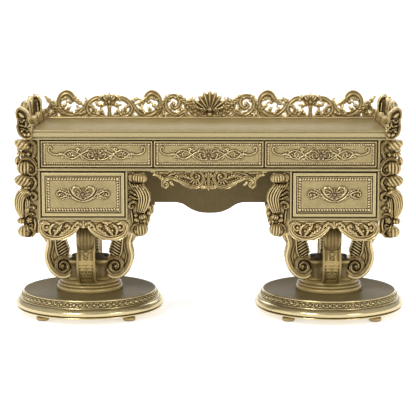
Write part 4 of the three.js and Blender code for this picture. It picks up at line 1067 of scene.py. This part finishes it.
def leg_parts():
    R = Relief(66, 200, 153, 457, 1.7)
    R.poly(LEG_OUT, 21)
    S = R.stroke
    inset = lambda d: [(x - d * nx, z - d * nz) for (x, z), (nx, nz) in zip(LEG_EDGE, EN)]
    E = np.array(LEG_EDGE, float); T = np.gradient(E, axis=0); T /= np.linalg.norm(T, axis=1)[:, None]
    EN = [(-t[1], t[0]) for t in T]
    if EN[0][0] < 0:
        EN = [(-a, -b_) for a, b_ in EN]
    # mouldings that follow the back of the scroll and wind into the volute
    vol = [(73, 189), (71.5, 208), (77, 229), (92, 243), (112, 248), (133, 243), (147, 228), (150, 208), (142, 190), (125, 180), (108, 183), (96, 195), (95, 212), (104, 224), (119, 226), (129, 217), (129, 204), (120, 197)]
    S([(x - 1, z) for x, z in inset(11)] + [(x + 5, z) for x, z in vol[:1]], [12.5], [13], "round", base=23)
    S([(x, z) for x, z in inset(28)][:-4], [4.0], [7], "round", base=21)
    S(LEG_EDGE[-3:] + vol, [8, 8, 9, 9.5, 9, 8.5, 8, 7.5, 7, 6.5, 6, 5.5, 5], [9, 10, 11, 12, 13, 13, 13], "scroll", base=27)
    R.disc((119, 209), 9, 15, 26)
    # acanthus up the inner edge
    xi = lambda z: float(np.interp(z, [230, 246, 258, 278, 300, 330, 362, 400, 430], [78, 86, 91, 91, 96, 105, 111, 119, 127]))
    xo = lambda z: float(np.interp(z, [250, 280, 330, 380, 430], [136, 145, 150, 156, 160]))
    for k_ in range(17):
        z_ = 242 + 12.2 * k_
        zt = z_ + 32
        if zt > 448:
            break
        S([(xo(z_), z_), ((xo(z_) + xi(zt)) / 2 + 3, z_ + 13), (xi(zt) + 5, zt - 5), (xi(zt) - 3, zt)], [3.0, 4.9, 5.2, 2.4], [6, 9.5, 11, 7], "round", base=22)
    S([(132, 244), (146, 276), (151, 326), (157, 380), (163, 436)], [5, 5.5, 5.5, 5.5, 4], [10, 13, 13, 12, 9], "round", base=21)
    # leaf tips on the back of the scroll
    S([(176, 204), (186, 226), (193, 246), (199, 262)], [7, 9, 8, 2], [9, 10, 8, 5], "leaf", base=27, n=4, k=.8)
    S([(170, 400), (182, 380), (190, 356), (190, 332)], [8, 12, 12, 6], [8, 12, 12, 8], "leaf", base=27, n=6, k=.9, depth=.3)
    R.blur(1)
    V, Q = R.solid(lambda u, v, h: (u, h, v), smooth=3)
    V[:, 1] = np.clip(V[:, 1], -41, 41)
    out = [(V, Q)]
    def draw(R2, L):
        U, Vv = R2.U, R2.Vv
        au = np.abs(U)
        # raised borders and hollow field below the shoulder
        low = np.clip((Vv - 140) / 16, 0, 1)
        R2.H = 0.6 + low * (5.2 * np.exp(-((au - 34.0) / 4.6) ** 2) + 2.4 * np.exp(-((au - 24) / 2.2) ** 2) - 1.2 * (au < 22))
        # shoulder: a leaf rolled over, ribbed down its length
        R2.roll((0, 98), 39, 58, 0, 18, 0.5, 5, conv=.45, rib=.12)
        R2.stroke([(-26, 142), (-12, 153), (0, 156), (12, 153), (26, 142)], [2, 3.4, 3.8, 3.4, 2], [3, 4, 4, 4, 3], "round", 1)
        # floral drop
        y0 = 188
        R2.disc((0, y0), 8.5, 4.6, 0, "flower", 5)
        for k_, (dy, w_) in enumerate(((14, 12), (30, 15), (48, 15), (66, 12))):
            for sx in (-1, 1):
                R2.stroke([(0, y0 + dy + 9), (sx * w_ * 0.50, y0 + dy), (sx * w_ * 0.86, y0 + dy - 15)], [1.6, 2.9, 1.2], [3.4, 4.4, 2.6], "round", 0)
            R2.disc((0, y0 + dy), 2.6, 4.4, 0)
        R2.disc((0, y0 + 82), 6, 4.2, 0, "flower", 5)
        for sx in (-1, 1):
            R2.stroke([(0, y0 - 4), (sx * 9, y0 - 12), (sx * 13, y0 - 22)], [2, 3.2, 1.4], [4, 4.6, 3], "leaf", 0, 3, .6, .35)
    V, Q = edge_wrap(LEG_EDGE, 40.5, 1.9, draw, flip=1)
    out.append((V, Q))
    return out


def legs():
    parts = leg_parts()
    for side, s in (("left", -1), ("right", 1)):
        for which, ang in (("front", -PI / 2), ("rear", PI / 2), ("outer", PI if s < 0 else 0.0), ("inner", 0.0 if s < 0 else PI)):
            b = Bag()
            for V, Q in parts:
                b.add(place_xyz(V, ang, (s * PED_X, 0, 0)), Q)
            nm = f"{side}_{which}_leg"
            # front legs take the painted-shade copy of the gold; the other legs use the plain carved gold
            put(nm + "_carving", b.mesh(nm + "_carving", cav_iter=6, cav_scale=2.2), M_LEG_SHADED if which == "front" else M_CARVED, replaces=[nm])

legs()

# ---- corner columns ----
def outer_column():
    """Stacked curls and leaves: u runs outwards from the case side, v is height."""
    R = Relief(-1, 101, 384, 812, 1.6)
    S = R.stroke
    R.poly([(22, 392), (60, 390), (72, 408), (62, 436), (70, 462), (84, 500), (88, 548), (68, 588), (56, 600), (74, 630), (60, 655), (76, 686), (74, 722), (60, 744), (74, 782), (52, 804), (18, 800), (12, 768), (20, 736), (10, 706), (8, 672), (22, 652), (14, 622), (26, 594), (14, 572), (26, 540), (20, 512), (28, 482), (20, 452), (18, 420)], 9, smooth=False)
    R.poly([(0, 806), (0, 398), (40, 398), (52, 420), (54, 520), (60, 600), (62, 700), (58, 790), (40, 806)], 3, smooth=False)
    # top leaf roll with its C-scroll
    R.roll((62, 787), 36, 25, 24, 27, 10, 4, lean=.15, rib=.24)
    R.roll((76, 765), 13, 8, -30, 16, 10, 3)
    S([(40, 770), (47, 780), (40, 792), (24, 798), (11, 788), (6.5, 771), (9, 751), (16, 735), (23, 721)], [3, 5, 6.5, 7.5, 7.5, 7, 7.5, 7, 3], [22, 22, 22, 20, 20, 20, 20, 16, 10], "scroll", 12)
    R.disc((36, 776), 8.5, 24, 12)
    # small knuckle
    R.roll((66, 744), 22, 12, 8, 25, 8, 4)
    R.disc((36, 744), 11, 20, 10, "flower", 4)
    # leaf tip on the outside
    R.roll((86, 717), 11, 19, 12, 18, 6, 2)
    # middle volute
    R.roll((52, 685), 38, 31, 0, 26, 8, 5, rib=.3)
    S([(72, 712), (62, 724), (46, 729), (22, 720), (8, 701), (3, 682), (8, 664), (24, 658), (38, 668), (41, 687), (30, 697), (17, 691), (13, 679), (21, 671), (29, 676)], [4, 6, 7.5, 8, 8, 8, 7.5, 7, 6.5, 6, 5.5, 5, 4.5, 4, 3.5], [18, 20, 22, 22, 22, 22, 22, 22, 24], "scroll", 12)
    R.disc((25, 681), 6, 28, 12)
    # shell knuckle with its spiral
    R.roll((58, 630), 43, 27, 4, 27, 8, 5, lean=.35, rib=.26)
    S([(30, 622), (24, 618), (18, 624), (22, 634), (33, 640), (20, 645), (10, 632), (8, 616), (15, 601), (27, 589)], [3.5, 4.5, 5, 5, 5, 5.5, 6, 6, 6, 4], [22, 22, 22, 22, 20, 18], "scroll", 12)
    R.disc((26, 628), 5, 24, 12)
    R.roll((50, 598), 22, 10, 0, 17, 8, 2)
    # great acanthus
    R.comb([(34, 584), (58, 597), (86, 582), (98, 552), (98, 520), (88, 490), (76, 470)], [(26, 566), (40, 572), (54, 556), (60, 530), (60, 506), (60, 488), (60, 474)], 5, 6.4, 19, 9, 11)
    for x_, z_ in ((72, 597), (88, 584), (96, 566), (99, 546), (98, 524), (93, 503)):
        S([(x_ - 15, z_ - 12), (x_ - 5, z_ - 4), (x_ + 1, z_ + 1)], [4, 4.8, 1.8], [20, 20, 8], "leaf", 9, 3, .6, .3)
    S([(66, 545), (56, 562), (38, 571), (20, 576), (7, 566), (9, 553), (20, 549), (27, 557), (22, 563)], [4, 6, 7, 7, 6.5, 6, 5.5, 4.5, 3], [22, 24, 26, 26, 24], "scroll", 12)
    R.comb([(50, 562), (54, 530), (55, 505), (57, 478)], [(30, 550), (32, 530), (36, 505), (44, 482)], 3, 4.8, 15, 10, 4)
    S([(46, 500), (36, 514), (20, 517), (12, 511)], [5, 7, 7, 4], [16, 20, 20, 14], "leaf", 10, 4, .7, .3)
    R.disc((17, 512), 7.5, 19, 10)
    S([(52, 476), (40, 486), (26, 488), (16, 482)], [5, 7, 6, 3], [14, 18, 18, 12], "leaf", 10, 4, .7, .3)
    # knuckle, rosette and little scroll
    R.roll((73, 456), 19, 14, 0, 24, 8, 3)
    R.disc((37, 459), 16, 20, 10, "flower", 5)
    S([(50, 438), (42, 428), (30, 426), (23, 434), (29, 442), (37, 437)], [4, 5, 5, 5, 4.5, 3], [18, 20, 20, 20], "scroll", 10)
    S([(16, 462), (12, 446), (13, 428), (17, 410)], [4, 5, 5, 4], [14, 16, 16, 16], "round", 9)
    # bottom volute
    R.roll((57, 410), 32, 27, 0, 28, 8, 4, rib=.24)
    S([(74, 424), (60, 432), (42, 428), (26, 420), (17, 405), (24, 392), (42, 386), (56, 392), (60, 406), (52, 417), (40, 416), (35, 407), (41, 401)], [4, 5, 5, 6, 7, 7, 7, 6.5, 6, 5.5, 5, 4.5, 3.5], [16, 18, 20, 22, 22, 22, 22, 24, 26], "scroll", 12)
    R.disc((45, 408), 6, 30, 12)
    R.blur(1)
    return R


def inner_column():
    """Roll, acanthus and roll: u runs from the pedestal side into the kneehole."""
    R = Relief(-1, 101, 384, 668, 1.6)
    S = R.stroke
    R.poly([(16, 664), (70, 664), (78, 642), (66, 624), (84, 590), (88, 556), (74, 516), (68, 480), (74, 446), (70, 404), (52, 392), (28, 402), (18, 430), (22, 470), (20, 512), (30, 548), (24, 600), (12, 636)], 9, smooth=False)
    R.poly([(0, 666), (0, 398), (30, 396), (50, 410), (60, 520), (62, 640), (56, 666)], 3, smooth=False)
    R.roll((48, 642), 35, 21, -3, 27, 10, 6, rib=.22)
    R.roll((13, 641), 12, 19, 10, 20, 8, 3)
    S([(6, 622), (14, 608), (26, 592), (40, 576)], [4, 5.5, 6, 4], [16, 18, 18, 14], "scroll", 10)
    # acanthus body
    R.comb([(14, 612), (32, 588), (44, 556), (42, 522), (38, 496)], [(66, 616), (90, 586), (97, 554), (84, 516), (72, 494)], 5, 6.6, 19, 9, 12)
    for x, z in ((30, 616), (42, 619), (56, 620), (69, 611)):
        S([(x + 2, z - 26), (x, z - 10), (x - 1, z)], [5, 5.5, 2], [24, 24, 12], "leaf", 10, 3, .6, .3)
    for x, z in ((82, 596), (92, 574), (95, 552)):
        S([(x - 18, z - 12), (x - 7, z - 4), (x + 1, z)], [5, 5.5, 2], [24, 22, 10], "leaf", 10, 3, .6, .3)
    S([(40, 566), (26, 574), (12, 582), (2, 580)], [6, 8, 7, 2.5], [18, 20, 18, 8], "leaf", 10, 4, .8, .35)
    S([(40, 552), (26, 556), (12, 562), (3, 560)], [6, 8, 7, 2.5], [18, 20, 18, 8], "leaf", 10, 4, .8, .35)
    S([(40, 532), (26, 538), (12, 532), (6, 520), (14, 512), (22, 518), (18, 525)], [5, 6.5, 6.5, 6, 5.5, 5, 3.5], [18, 20, 20, 20, 20], "scroll", 10)
    S([(12, 502), (16, 484), (18, 462), (20, 446)], [3, 4.5, 4.5, 3], [12, 14, 14, 12], "round", 9)
    # knobs between leaf and roll
    R.roll((60, 474), 17, 13, 20, 23, 8, 3)
    R.roll((36, 460), 13, 11, -20, 20, 8, 3)
    R.disc((34, 480), 11, 16, 9, "flower", 4)
    R.disc((70, 456), 7, 18, 8)
    # bottom roll with a spiral at its end
    R.roll((54, 417), 33, 28, 4, 28, 8, 5, rib=.24)
    S([(44, 446), (28, 436), (18, 419), (24, 402), (38, 392), (50, 391)], [4, 6, 6.5, 6.5, 5.5, 3], [14, 18, 18, 18, 14], "scroll", 10)
    S([(38, 440), (32, 424), (38, 412), (47, 416), (44, 425)], [4, 5, 5, 4.5, 3], [24, 26, 26, 28], "scroll", 10)
    R.blur(1)
    return R


def columns():
    Ro, Ri = outer_column(), inner_column()
    # leafy back half of the inner consoles
    Rb = Relief(-1, 101, 388, 560, 1.8)
    Rb.poly([(0, 552), (60, 540), (84, 528), (97, 505), (99, 478), (92, 452), (84, 430), (78, 402), (50, 392), (0, 396)], 5, smooth=False)
    for k_ in range(34):
        x_, z_ = 44 + 36 * RNG.random(), 404 + 118 * RNG.random()
        a_ = RNG.random() * 2 * PI
        Rb.stroke([(x_, z_), (x_ + 6 * math.cos(a_), z_ + 6 * math.sin(a_)), (x_ + 11 * math.cos(a_ + .6), z_ + 11 * math.sin(a_ + .6))], [3, 5, 2], [8, 12, 6], "leaf", 5, 3, .6, .35)
    for x_, z_ in ((92, 484), (86, 446), (78, 412), (90, 512)):
        Rb.disc((x_ - 6, z_), 12, 15, 5, "flower", 5)
    Rb.blur(1)
    for row, sy in (("front", -1), ("rear", 1)):
        for nm, R, x0, dirn in (("left_outer", Ro, -734.8, -1), ("right_outer", Ro, 734.8, 1), ("left_inner", Ri, -346.2, 1), ("right_inner", Ri, 346.2, -1)):
            V, Q = R.solid(lambda u, v, h: (u, h, v), back_scale=0.82, smooth=3)
            u = np.clip(V[:, 0], 0, 99.5)
            y = sy * (272 + 0.10 * u + V[:, 1] * 1.12)
            W = np.stack([x0 + dirn * u, np.clip(y, -335.2, 335.2), np.clip(V[:, 2], 386.5, 805.5)], 1)
            b = Bag(); b.add(W, Q)
            if "inner" in nm:
                V3, Q3 = Rb.solid(lambda u, v, h: (u, h, v), back_scale=0.9, smooth=3)
                b.add(np.stack([x0 + dirn * np.clip(V3[:, 0], 0, 99.5), sy * (240 + 0.05 * V3[:, 0] + V3[:, 1] * 0.8), V3[:, 2]], 1), Q3)
            n = f"{nm}_{row}_column"
            put(n + "_carving", b.mesh(n + "_carving", cav_iter=6, cav_scale=2.6), M_CARVED, replaces=[n])

columns()

# ---- side galleries ----
def shell_bowl(c, r, tilt, lobes, thick=5, arc=(-105, 105), depth=24):
    """Scalloped shell, hollow towards -Y, leaning by tilt degrees."""
    na, nr = 72, 16
    A = np.radians(np.linspace(arc[0], arc[1], na))
    t = np.linspace(0.12, 1, nr)
    AA, TT = np.meshgrid(A, t, indexing="ij")
    lob = np.abs(np.sin((AA - A[0]) / (A[-1] - A[0]) * PI * lobes))
    RR = r * TT * (1 + 0.10 * lob * TT ** 2)
    x, z = RR * np.sin(AA), RR * np.cos(AA)
    y = -depth * (TT ** 2) + 5.0 * (lob - 0.5) * TT - 6 * np.exp(-((TT - 1) / 0.12) ** 2)
    def place(yy):
        ct, st = math.cos(math.radians(tilt)), math.sin(math.radians(tilt))
        return np.stack([c[0] + x, c[1] + yy * ct - z * st, c[2] + z * ct + yy * st], 2).reshape(-1, 3)
    F, K = place(y), place(y + thick + 7 * (1 - TT))
    V = np.vstack([F, K]); n = len(F)
    i = np.arange(na - 1)[:, None]; j = np.arange(nr - 1)[None]
    a = (i * nr + j).ravel()
    q = np.stack([a, a + 1, a + 1 + nr, a + nr], 1)
    Q = [q, q[:, ::-1] + n]
    def wall(idx):
        s, e = idx[:-1], idx[1:]
        return np.stack([e, s, s + n, e + n], 1)
    ring = np.concatenate([np.arange(nr), np.arange(1, na) * nr + nr - 1, (na - 1) * nr + np.arange(nr - 2, -1, -1), np.arange(na - 2, -1, -1) * nr])
    Q.append(wall(ring))
    return V, np.concatenate(Q)


def side_galleries():
    # drawn in (forward, z): u = -y, so the front is on the right
    R = Relief(-261, 333, 810, 977, 2.0)
    S = R.stroke
    S([(-261, 853), (292, 853)], [6], [6], "round", 16)
    # front bracket: hanging leaf with a volute over it
    S([(300, 858), (311, 852), (308, 838), (300, 826)], [9, 12, 12, 8], [14, 18, 16, 12], "leaf", 14, 5, .9)
    S([(296, 880), (304, 876), (306, 888), (294, 896), (280, 890), (276, 872), (288, 856), (308, 854), (322, 868), (324, 892), (312, 914), (288, 928), (256, 926), (230, 908), (206, 884), (180, 868), (150, 862)],
      [6, 7, 8, 9, 9, 9, 9, 10, 10, 10, 11, 12, 12, 12, 12, 11, 7], [18, 18, 18, 18, 17, 17, 17, 17, 17, 16, 14], "scroll", 16)
    R.disc((296, 884), 8, 21, 16)
    # leaf flame behind the volute
    S([(236, 890), (252, 918), (250, 944), (228, 962), (202, 958)], [12, 17, 19, 16, 6], [16, 19, 18, 12], "leaf", 14, 7, .9, .42)
    S([(216, 880), (222, 906), (214, 930), (194, 940)], [10, 14, 15, 6], [16, 18, 12], "leaf", 14, 6, .9, .45)
    # great C-scrolls with shells between
    for o in (0, -188):
        S([(o + 128, 906), (o + 138, 912), (o + 134, 926), (o + 118, 926), (o + 112, 908), (o + 124, 892), (o + 146, 894), (o + 158, 914), (o + 150, 940), (o + 124, 954), (o + 92, 948), (o + 66, 926), (o + 40, 894), (o + 12, 870), (o - 20, 862)],
          [6, 7, 8, 8, 8, 9, 9, 10, 11, 12, 12, 12, 12, 11, 7], [17, 17, 17, 16, 16, 16, 16, 16, 13], "scroll", 14)
        R.disc((o + 127, 914), 8, 19, 14)
        S([(o + 150, 872), (o + 168, 880), (o + 182, 898), (o + 178, 920)], [8, 12, 13, 5], [15, 17, 11], "leaf", 13, 6, .9, .45)
        S([(o + 96, 870), (o + 112, 866), (o + 130, 876)], [8, 12, 6], [14, 16, 11], "leaf", 13, 5, .9, .45)
        S([(o + 60, 880), (o + 84, 886), (o + 96, 906), (o + 88, 924)], [6, 12, 12, 5], [14, 17, 11], "leaf", 13, 6, .9, .45)
        S([(o + 46, 916), (o + 30, 940), (o + 10, 956), (o - 12, 962)], [9, 14, 13, 5], [14, 17, 11], "leaf", 13, 6, .9, .45)
    R.fan((-2, 906), 66, 40, 140, 7, 20, 12, droop=.2)
    R.fan((188, 912), 56, 46, 134, 7, 20, 12, droop=.2)
    R.fan((-186, 908), 62, 40, 140, 7, 20, 12, droop=.2)
    S([(-206, 870), (-222, 892), (-240, 912), (-252, 938)], [10, 14, 12, 5], [14, 17, 11], "leaf", 13, 6, .9, .45)
    S([(-196, 858), (-226, 864), (-254, 866)], [8, 11, 8], [14, 15, 12], "leaf", 13, 5)
    R.blur(1)
    R.H[:, R.u > 304] = -99
    R.H[:] = np.where((R.H > -50) & (R.Vv > 905) & (R.u[None, :] > 175), -99, R.H)
    V, Q = R.solid(lambda u, v, h: (u, h, v), smooth=3)
    V[:, 1] = np.clip(V[:, 1] * 0.45, -16, 16)
    # cross pieces seen from the front; u runs outwards from the inner face
    F1 = Relief(-2, 82, 808, 950, 1.6)
    F1.poly([(70, 935), (56, 943), (42, 939), (20, 922), (14, 900), (12, 880), (0, 862), (0, 838), (4, 820), (22, 812), (44, 816), (60, 832), (70, 850), (71, 868), (67, 886), (73, 904)], 5, smooth=False)
    T = F1.stroke
    T([(18, 884), (15, 903), (21, 922), (32, 932), (44, 940), (57, 943), (70, 936), (75, 921), (73, 904), (64, 896)], [4, 6, 6.5, 6.5, 6.5, 6.5, 6.5, 6, 5, 3], [14, 17, 18, 18, 18, 18, 16, 12], "scroll", 7)
    F1.roll((50, 914), 19, 9.5, 33, 17, 6, 2, rib=.15)
    T([(73, 903), (67, 886), (71, 867), (67, 849), (59, 832), (45, 818)], [5, 6, 6.5, 7, 7, 5], [14, 17, 17, 17, 17, 12], "scroll", 7)
    T([(45, 818), (24, 813), (5, 822), (1, 838), (10, 850), (24, 846)], [6, 6.5, 6.5, 6, 6, 4], [14, 17, 17, 17, 16], "scroll", 7)
    F1.disc((14, 832), 12, 19, 6); F1.roll((34, 831), 14, 9, 16, 19, 6, 2)
    F1.roll((48, 846), 11, 8, -30, 17, 6, 2)
    T([(60, 892), (48, 885), (34, 893)], [4, 7, 4], [12, 18, 14], "leaf", 6, 3, .6, .35)
    T([(60, 872), (46, 869), (31, 864)], [4, 7, 4], [12, 18, 14], "leaf", 6, 3, .6, .35)
    T([(56, 856), (42, 856), (28, 852)], [4, 6, 4], [12, 17, 14], "leaf", 6, 3, .6, .35)
    T([(24, 894), (27, 876), (16, 860), (2, 856)], [4, 7, 7, 3], [14, 18, 17, 10], "leaf", 6, 5, .8, .35)
    F1.disc((36, 893), 6.5, 20, 6); F1.disc((12, 868), 6, 17, 6); F1.disc((30, 868), 5.5, 19, 6)
    F1.blur(1)

    def shell(top, wide, n):
        """Rolled shell: scalloped rim, hollow heart, rolled leaf at the outside."""
        F = Relief(-2, 82, 846, 982, 1.7)
        F.poly([(16, 850), (64, 850), (72, 880), (70, 912), (56, top - 14), (26, top - 8), (6, top - 30), (2, 900), (8, 872)], 3, smooth=True)
        rim = curve([(60, top - 26), (44, top - 10), (26, top - 6), (9, top - 20), (1 + wide, top - 46), (4, 888), (14, 866)], 2.0)
        F.stroke([tuple(x) for x in rim[::4]], [6, 7, 7, 7, 6], [11, 14, 14, 14, 12], "round", 4)
        for q in np.linspace(0.04, 0.96, n):
            c_ = rim[int(q * (len(rim) - 1))]
            F.disc(tuple(c_), 8.2, 15, 4)
        # rolled leaf at the outside
        F.stroke([(58, 862), (68, 888), (72, 914), (64, top - 26)], [7, 11, 12, 8], [12, 17, 18, 13], "leaf", 4, 5, .5, .22)
        # inner band and heart leaf
        F.stroke([(22, 872), (17, 900), (22, top - 34)], [4, 7, 5], [9, 13, 10], "round", 4)
        F.stroke([(42, 868), (46, 894), (40, top - 34)], [4, 8, 4], [7, 10, 7], "leaf", 3, 6, .7, .35)
        F.stroke([(14, 852), (8, 864), (18, 874), (30, 868), (26, 860)], [5, 6, 6, 5, 4], [12, 14, 15, 15], "scroll", 5)
        F.stroke([(66, 852), (70, 866), (58, 874), (48, 866), (54, 858)], [5, 6, 6, 5, 4], [12, 14, 15, 15], "scroll", 5)
        F.disc((38, 860), 8, 16, 5, "flower", 5)
        F.blur(1)
        return F
    F3 = shell(974, 0, 10)
    F2 = Relief(-2, 82, 846, 974, 1.7)
    F2.poly([(30, 850), (72, 850), (79, 884), (78, 930), (62, 962), (44, 962), (30, 936), (26, 890)], 8, smooth=True)
    F2.roll((58, 938), 22, 27, 12, 26, 8, 2, rib=.14)
    F2.stroke([(76, 916), (70, 894), (76, 870), (66, 852)], [6, 7, 7, 5], [16, 20, 20, 14], "scroll", 8)
    F2.stroke([(40, 920), (34, 896), (44, 876), (36, 854)], [5, 8, 8, 5], [14, 18, 18, 12], "leaf", 8, 6, .8, .35)
    F2.stroke([(58, 912), (56, 890), (58, 862)], [5, 9, 5], [12, 17, 12], "leaf", 8, 6, .8, .35)
    F2.blur(1)
    for side, s in (("left", -1), ("right", 1)):
        cx = s * 789.0
        b = Bag()
        W = np.stack([cx + s * 7 + V[:, 1] * s, -V[:, 0], V[:, 2]], 1)
        W[:, 1] = np.clip(W[:, 1], -334.5, 261.5); W[:, 2] = np.clip(W[:, 2], 808.5, 976)
        b.add(W, Q)
        W2 = np.stack([s * 766.5 + V[:, 1] * s * 0.9, -V[:, 0] + 14, 811 + (V[:, 2] - 811) * 0.56], 1)
        W2[:, 1] = np.clip(W2[:, 1], -292, 261); W2[:, 2] = np.clip(W2[:, 2], 809, 910)
        b.add(W2, Q)
        for F, yc, lean in ((F1, -311, 0.0), (F2, -170, 0.10), (F3, 34, 0.12), (F2, 196, 0.12)):
            B2, Q2 = F.solid(lambda u, v, h: (u, h, v), back_scale=0.8, smooth=3)
            V2 = np.stack([s * (751.5 + 0.85 * np.clip(B2[:, 0], 0, 80)), yc + lean * (B2[:, 2] - 900) - B2[:, 1], B2[:, 2]], 1)
            V2[:, 1] = np.clip(V2[:, 1], -335, 262); V2[:, 2] = np.clip(V2[:, 2], 809, 981)
            b.add(V2, Q2)
        n = side + "_gallery"
        put(n + "_carving", b.mesh(n + "_carving", cav_iter=6, cav_scale=2.6), M_CARVED, replaces=[n])

side_galleries()

# ----------------------------------------------------------------------------
# boards that keep their CAD shape: finish and eased edges
# ----------------------------------------------------------------------------
def finish_cad(node, mat, bevel=0.0012):
    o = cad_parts[node]
    me = o.data
    if "cav" not in me.attributes:
        a = me.attributes.new("cav", "FLOAT", "POINT")
        a.data.foreach_set("value", np.full(len(me.vertices), 0.5, np.float32))
    if not me.materials:
        me.materials.append(mat)
    for i in range(len(o.material_slots)):
        o.material_slots[i].material = mat
    if bevel:
        m = o.modifiers.new("eased", "BEVEL")
        m.width = bevel; m.segments = 2; m.limit_method = "ANGLE"; m.angle_limit = math.radians(40)

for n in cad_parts:
    if n.endswith("_tray"):
        finish_cad(n, M_WOOD, 0.001)
    elif n in ("rear_panel", "modesty_panel"):
        # rear and modesty panels take the painted-shade copy of the board gold
        finish_cad(n, M_PANEL_SHADED)
    elif n.endswith("_side") or n.endswith("_bottom_panel") or n == "drawer_deck":
        finish_cad(n, M_FLAT)

def case_beads():
    """Half-round beads on the front edges of the case boards."""
    b = Bag()
    t = np.linspace(-1, 1, 9)
    prof = [(x, math.sqrt(max(0, 1 - abs(x) ** 2.4))) for x in t]
    def strip(c0, c1, half, axis, y0=-285.0, h=5.0):
        rows = []
        for e in (0, 1):
            for x, f in prof:
                if axis == "x":
                    rows.append(((c0[0], c1[0])[e], y0 - 0.2 - h * f, c0[1] + half * x))
                else:
                    rows.append((c0[0] + half * x, y0 - 0.2 - h * f, (c0[1], c1[1])[e]))
        m = len(prof)
        Qs = [(k, k + 1, k + 1 + m, k + m) for k in range(m - 1)] + [(m - 1, 0, m, 2 * m - 1)]
        n0 = len(rows)
        a0 = np.mean(rows[:m], 0); a1 = np.mean(rows[m:], 0)
        rows += [tuple(a0), tuple(a1)]
        Ts = [(k + 1, k, n0) for k in range(m - 1)] + [(0, m - 1, n0)] + [(m + k, m + k + 1, n0 + 1) for k in range(m - 1)] + [(2 * m - 1, m, n0 + 1)]
        b.add(np.array(rows), np.array(Qs), np.array(Ts))
    strip((-734, 676.6), (734, 676.6), 6.2, "x")
    for s_ in (-1, 1):
        strip((s_ * 729.0, 458), (s_ * 729.0, 669.8), 4.6, "z")
        strip((s_ * 729.0, 683.4), (s_ * 729.0, 805.6), 4.6, "z")
        strip((s_ * 352.5, 458), (s_ * 352.5, 669.8), 4.8, "z")
        strip((s_ * 356.0 if s_ > 0 else -725.0, 463.8), (725.0 if s_ > 0 else -356.0, 463.8), 5.4, "x")
    put("case_front_beads", b.mesh("case_front_beads", cav_iter=2, cav_scale=4, smooth_deg=60), M_EDGE)

case_beads()

# ----------------------------------------------------------------------------
# stage, lights, camera
# ----------------------------------------------------------------------------
def stage():
    """Pale floor that rises into a white sweep all round."""
    r = [0.0, 1.5, 3, 5, 8, 11, 13, 14.2, 15, 15.4]
    z = [0, 0, 0, 0, 0, 0, 0.15, 0.7, 1.8, 4.2]
    segs = 72
    th = np.linspace(0, 2 * PI, segs, endpoint=False)
    V = [(0, 0, 0)] + [(R_ * math.cos(t), R_ * math.sin(t), Z_) for R_, Z_ in zip(r[1:], z[1:]) for t in th]
    F = [(0, 1 + k, 1 + (k + 1) % segs) for k in range(segs)]
    for i in range(len(r) - 2):
        for k in range(segs):
            a, b_ = 1 + i * segs + k, 1 + i * segs + (k + 1) % segs
            F.append((a, a + segs, b_ + segs, b_))
    me = bpy.data.meshes.new("floor")
    me.from_pydata(V, [], F)
    me.polygons.foreach_set("use_smooth", np.ones(len(me.polygons), bool))
    o = bpy.data.objects.new("floor", me)
    bpy.context.scene.collection.objects.link(o)
    m, nt, b = _nodes("floor_white")
    n = _noise(nt, 3.0, 2.0)
    rr = _ramp(nt, [(0.0, (0.90, 0.90, 0.90)), (1.0, (0.93, 0.93, 0.93))])
    nt.links.new(n, rr.inputs[0]); nt.links.new(rr.outputs[0], b.inputs["Base Color"])
    b.inputs["Roughness"].default_value = 0.9
    b.inputs["Specular IOR Level"].default_value = 0.1
    b.inputs["Emission Color"].default_value = (1, 1, 1, 1)
    tc = _n(nt, "ShaderNodeTexCoord"); ln = _n(nt, "ShaderNodeVectorMath", operation="LENGTH")
    nt.links.new(tc.outputs["Object"], ln.inputs[0])
    nt.links.new(_maprange(nt, ln.outputs["Value"], 0.6, 3.0, 0.50, 0.74), b.inputs["Emission Strength"])
    me.materials.append(m)

stage()

def area(name, loc, target, size, power, sy=None, color=(1, 1, 1)):
    l = bpy.data.lights.new(name, "AREA")
    l.shape = "RECTANGLE"; l.size = size; l.size_y = sy or size
    l.energy = power; l.color = color
    o = bpy.data.objects.new(name, l)
    bpy.context.scene.collection.objects.link(o)
    o.location = loc
    d = Vector(target) - Vector(loc)
    o.rotation_euler = d.to_track_quat("-Z", "Y").to_euler()
    return o

area("key", (-2.4, -3.8, 4.2), (0, 0, 0.5), 1.8, 130, 1.4)
area("fill", (3.4, -3.8, 2.8), (0, 0, 0.6), 1.4, 46, 1.4)
area("top", (0, 0.6, 4.4), (0, 0, 0.5), 3.0, 50, 1.2)
area("back", (0, 4.6, 3.0), (0, 0, 0.9), 3.5, 50, 1.2)

w = bpy.data.worlds.new("studio"); bpy.context.scene.world = w
w.use_nodes = True
nt = w.node_tree; nt.nodes.clear()
wo = nt.nodes.new("ShaderNodeOutputWorld"); bg = nt.nodes.new("ShaderNodeBackground")
bg.inputs["Strength"].default_value = 1.0
bg.inputs["Color"].default_value = (0.42, 0.42, 0.42, 1)
nt.links.new(bg.outputs[0], wo.inputs[0])

cam = bpy.data.cameras.new("camera"); cam.lens = 129.04; cam.sensor_width = 36; cam.clip_end = 60
co = bpy.data.objects.new("camera", cam); bpy.context.scene.collection.objects.link(co)
co.location = (0.0626, -6.6276, 1.4675)
yaw, pitch = math.radians(0.59), math.radians(-8.572)
d = Vector((-math.sin(yaw) * math.cos(pitch), math.cos(yaw) * math.cos(pitch), math.sin(pitch)))
co.rotation_euler = d.to_track_quat("-Z", "Y").to_euler()
bpy.context.scene.camera = co
bpy.context.scene.view_settings.view_transform = "Standard"
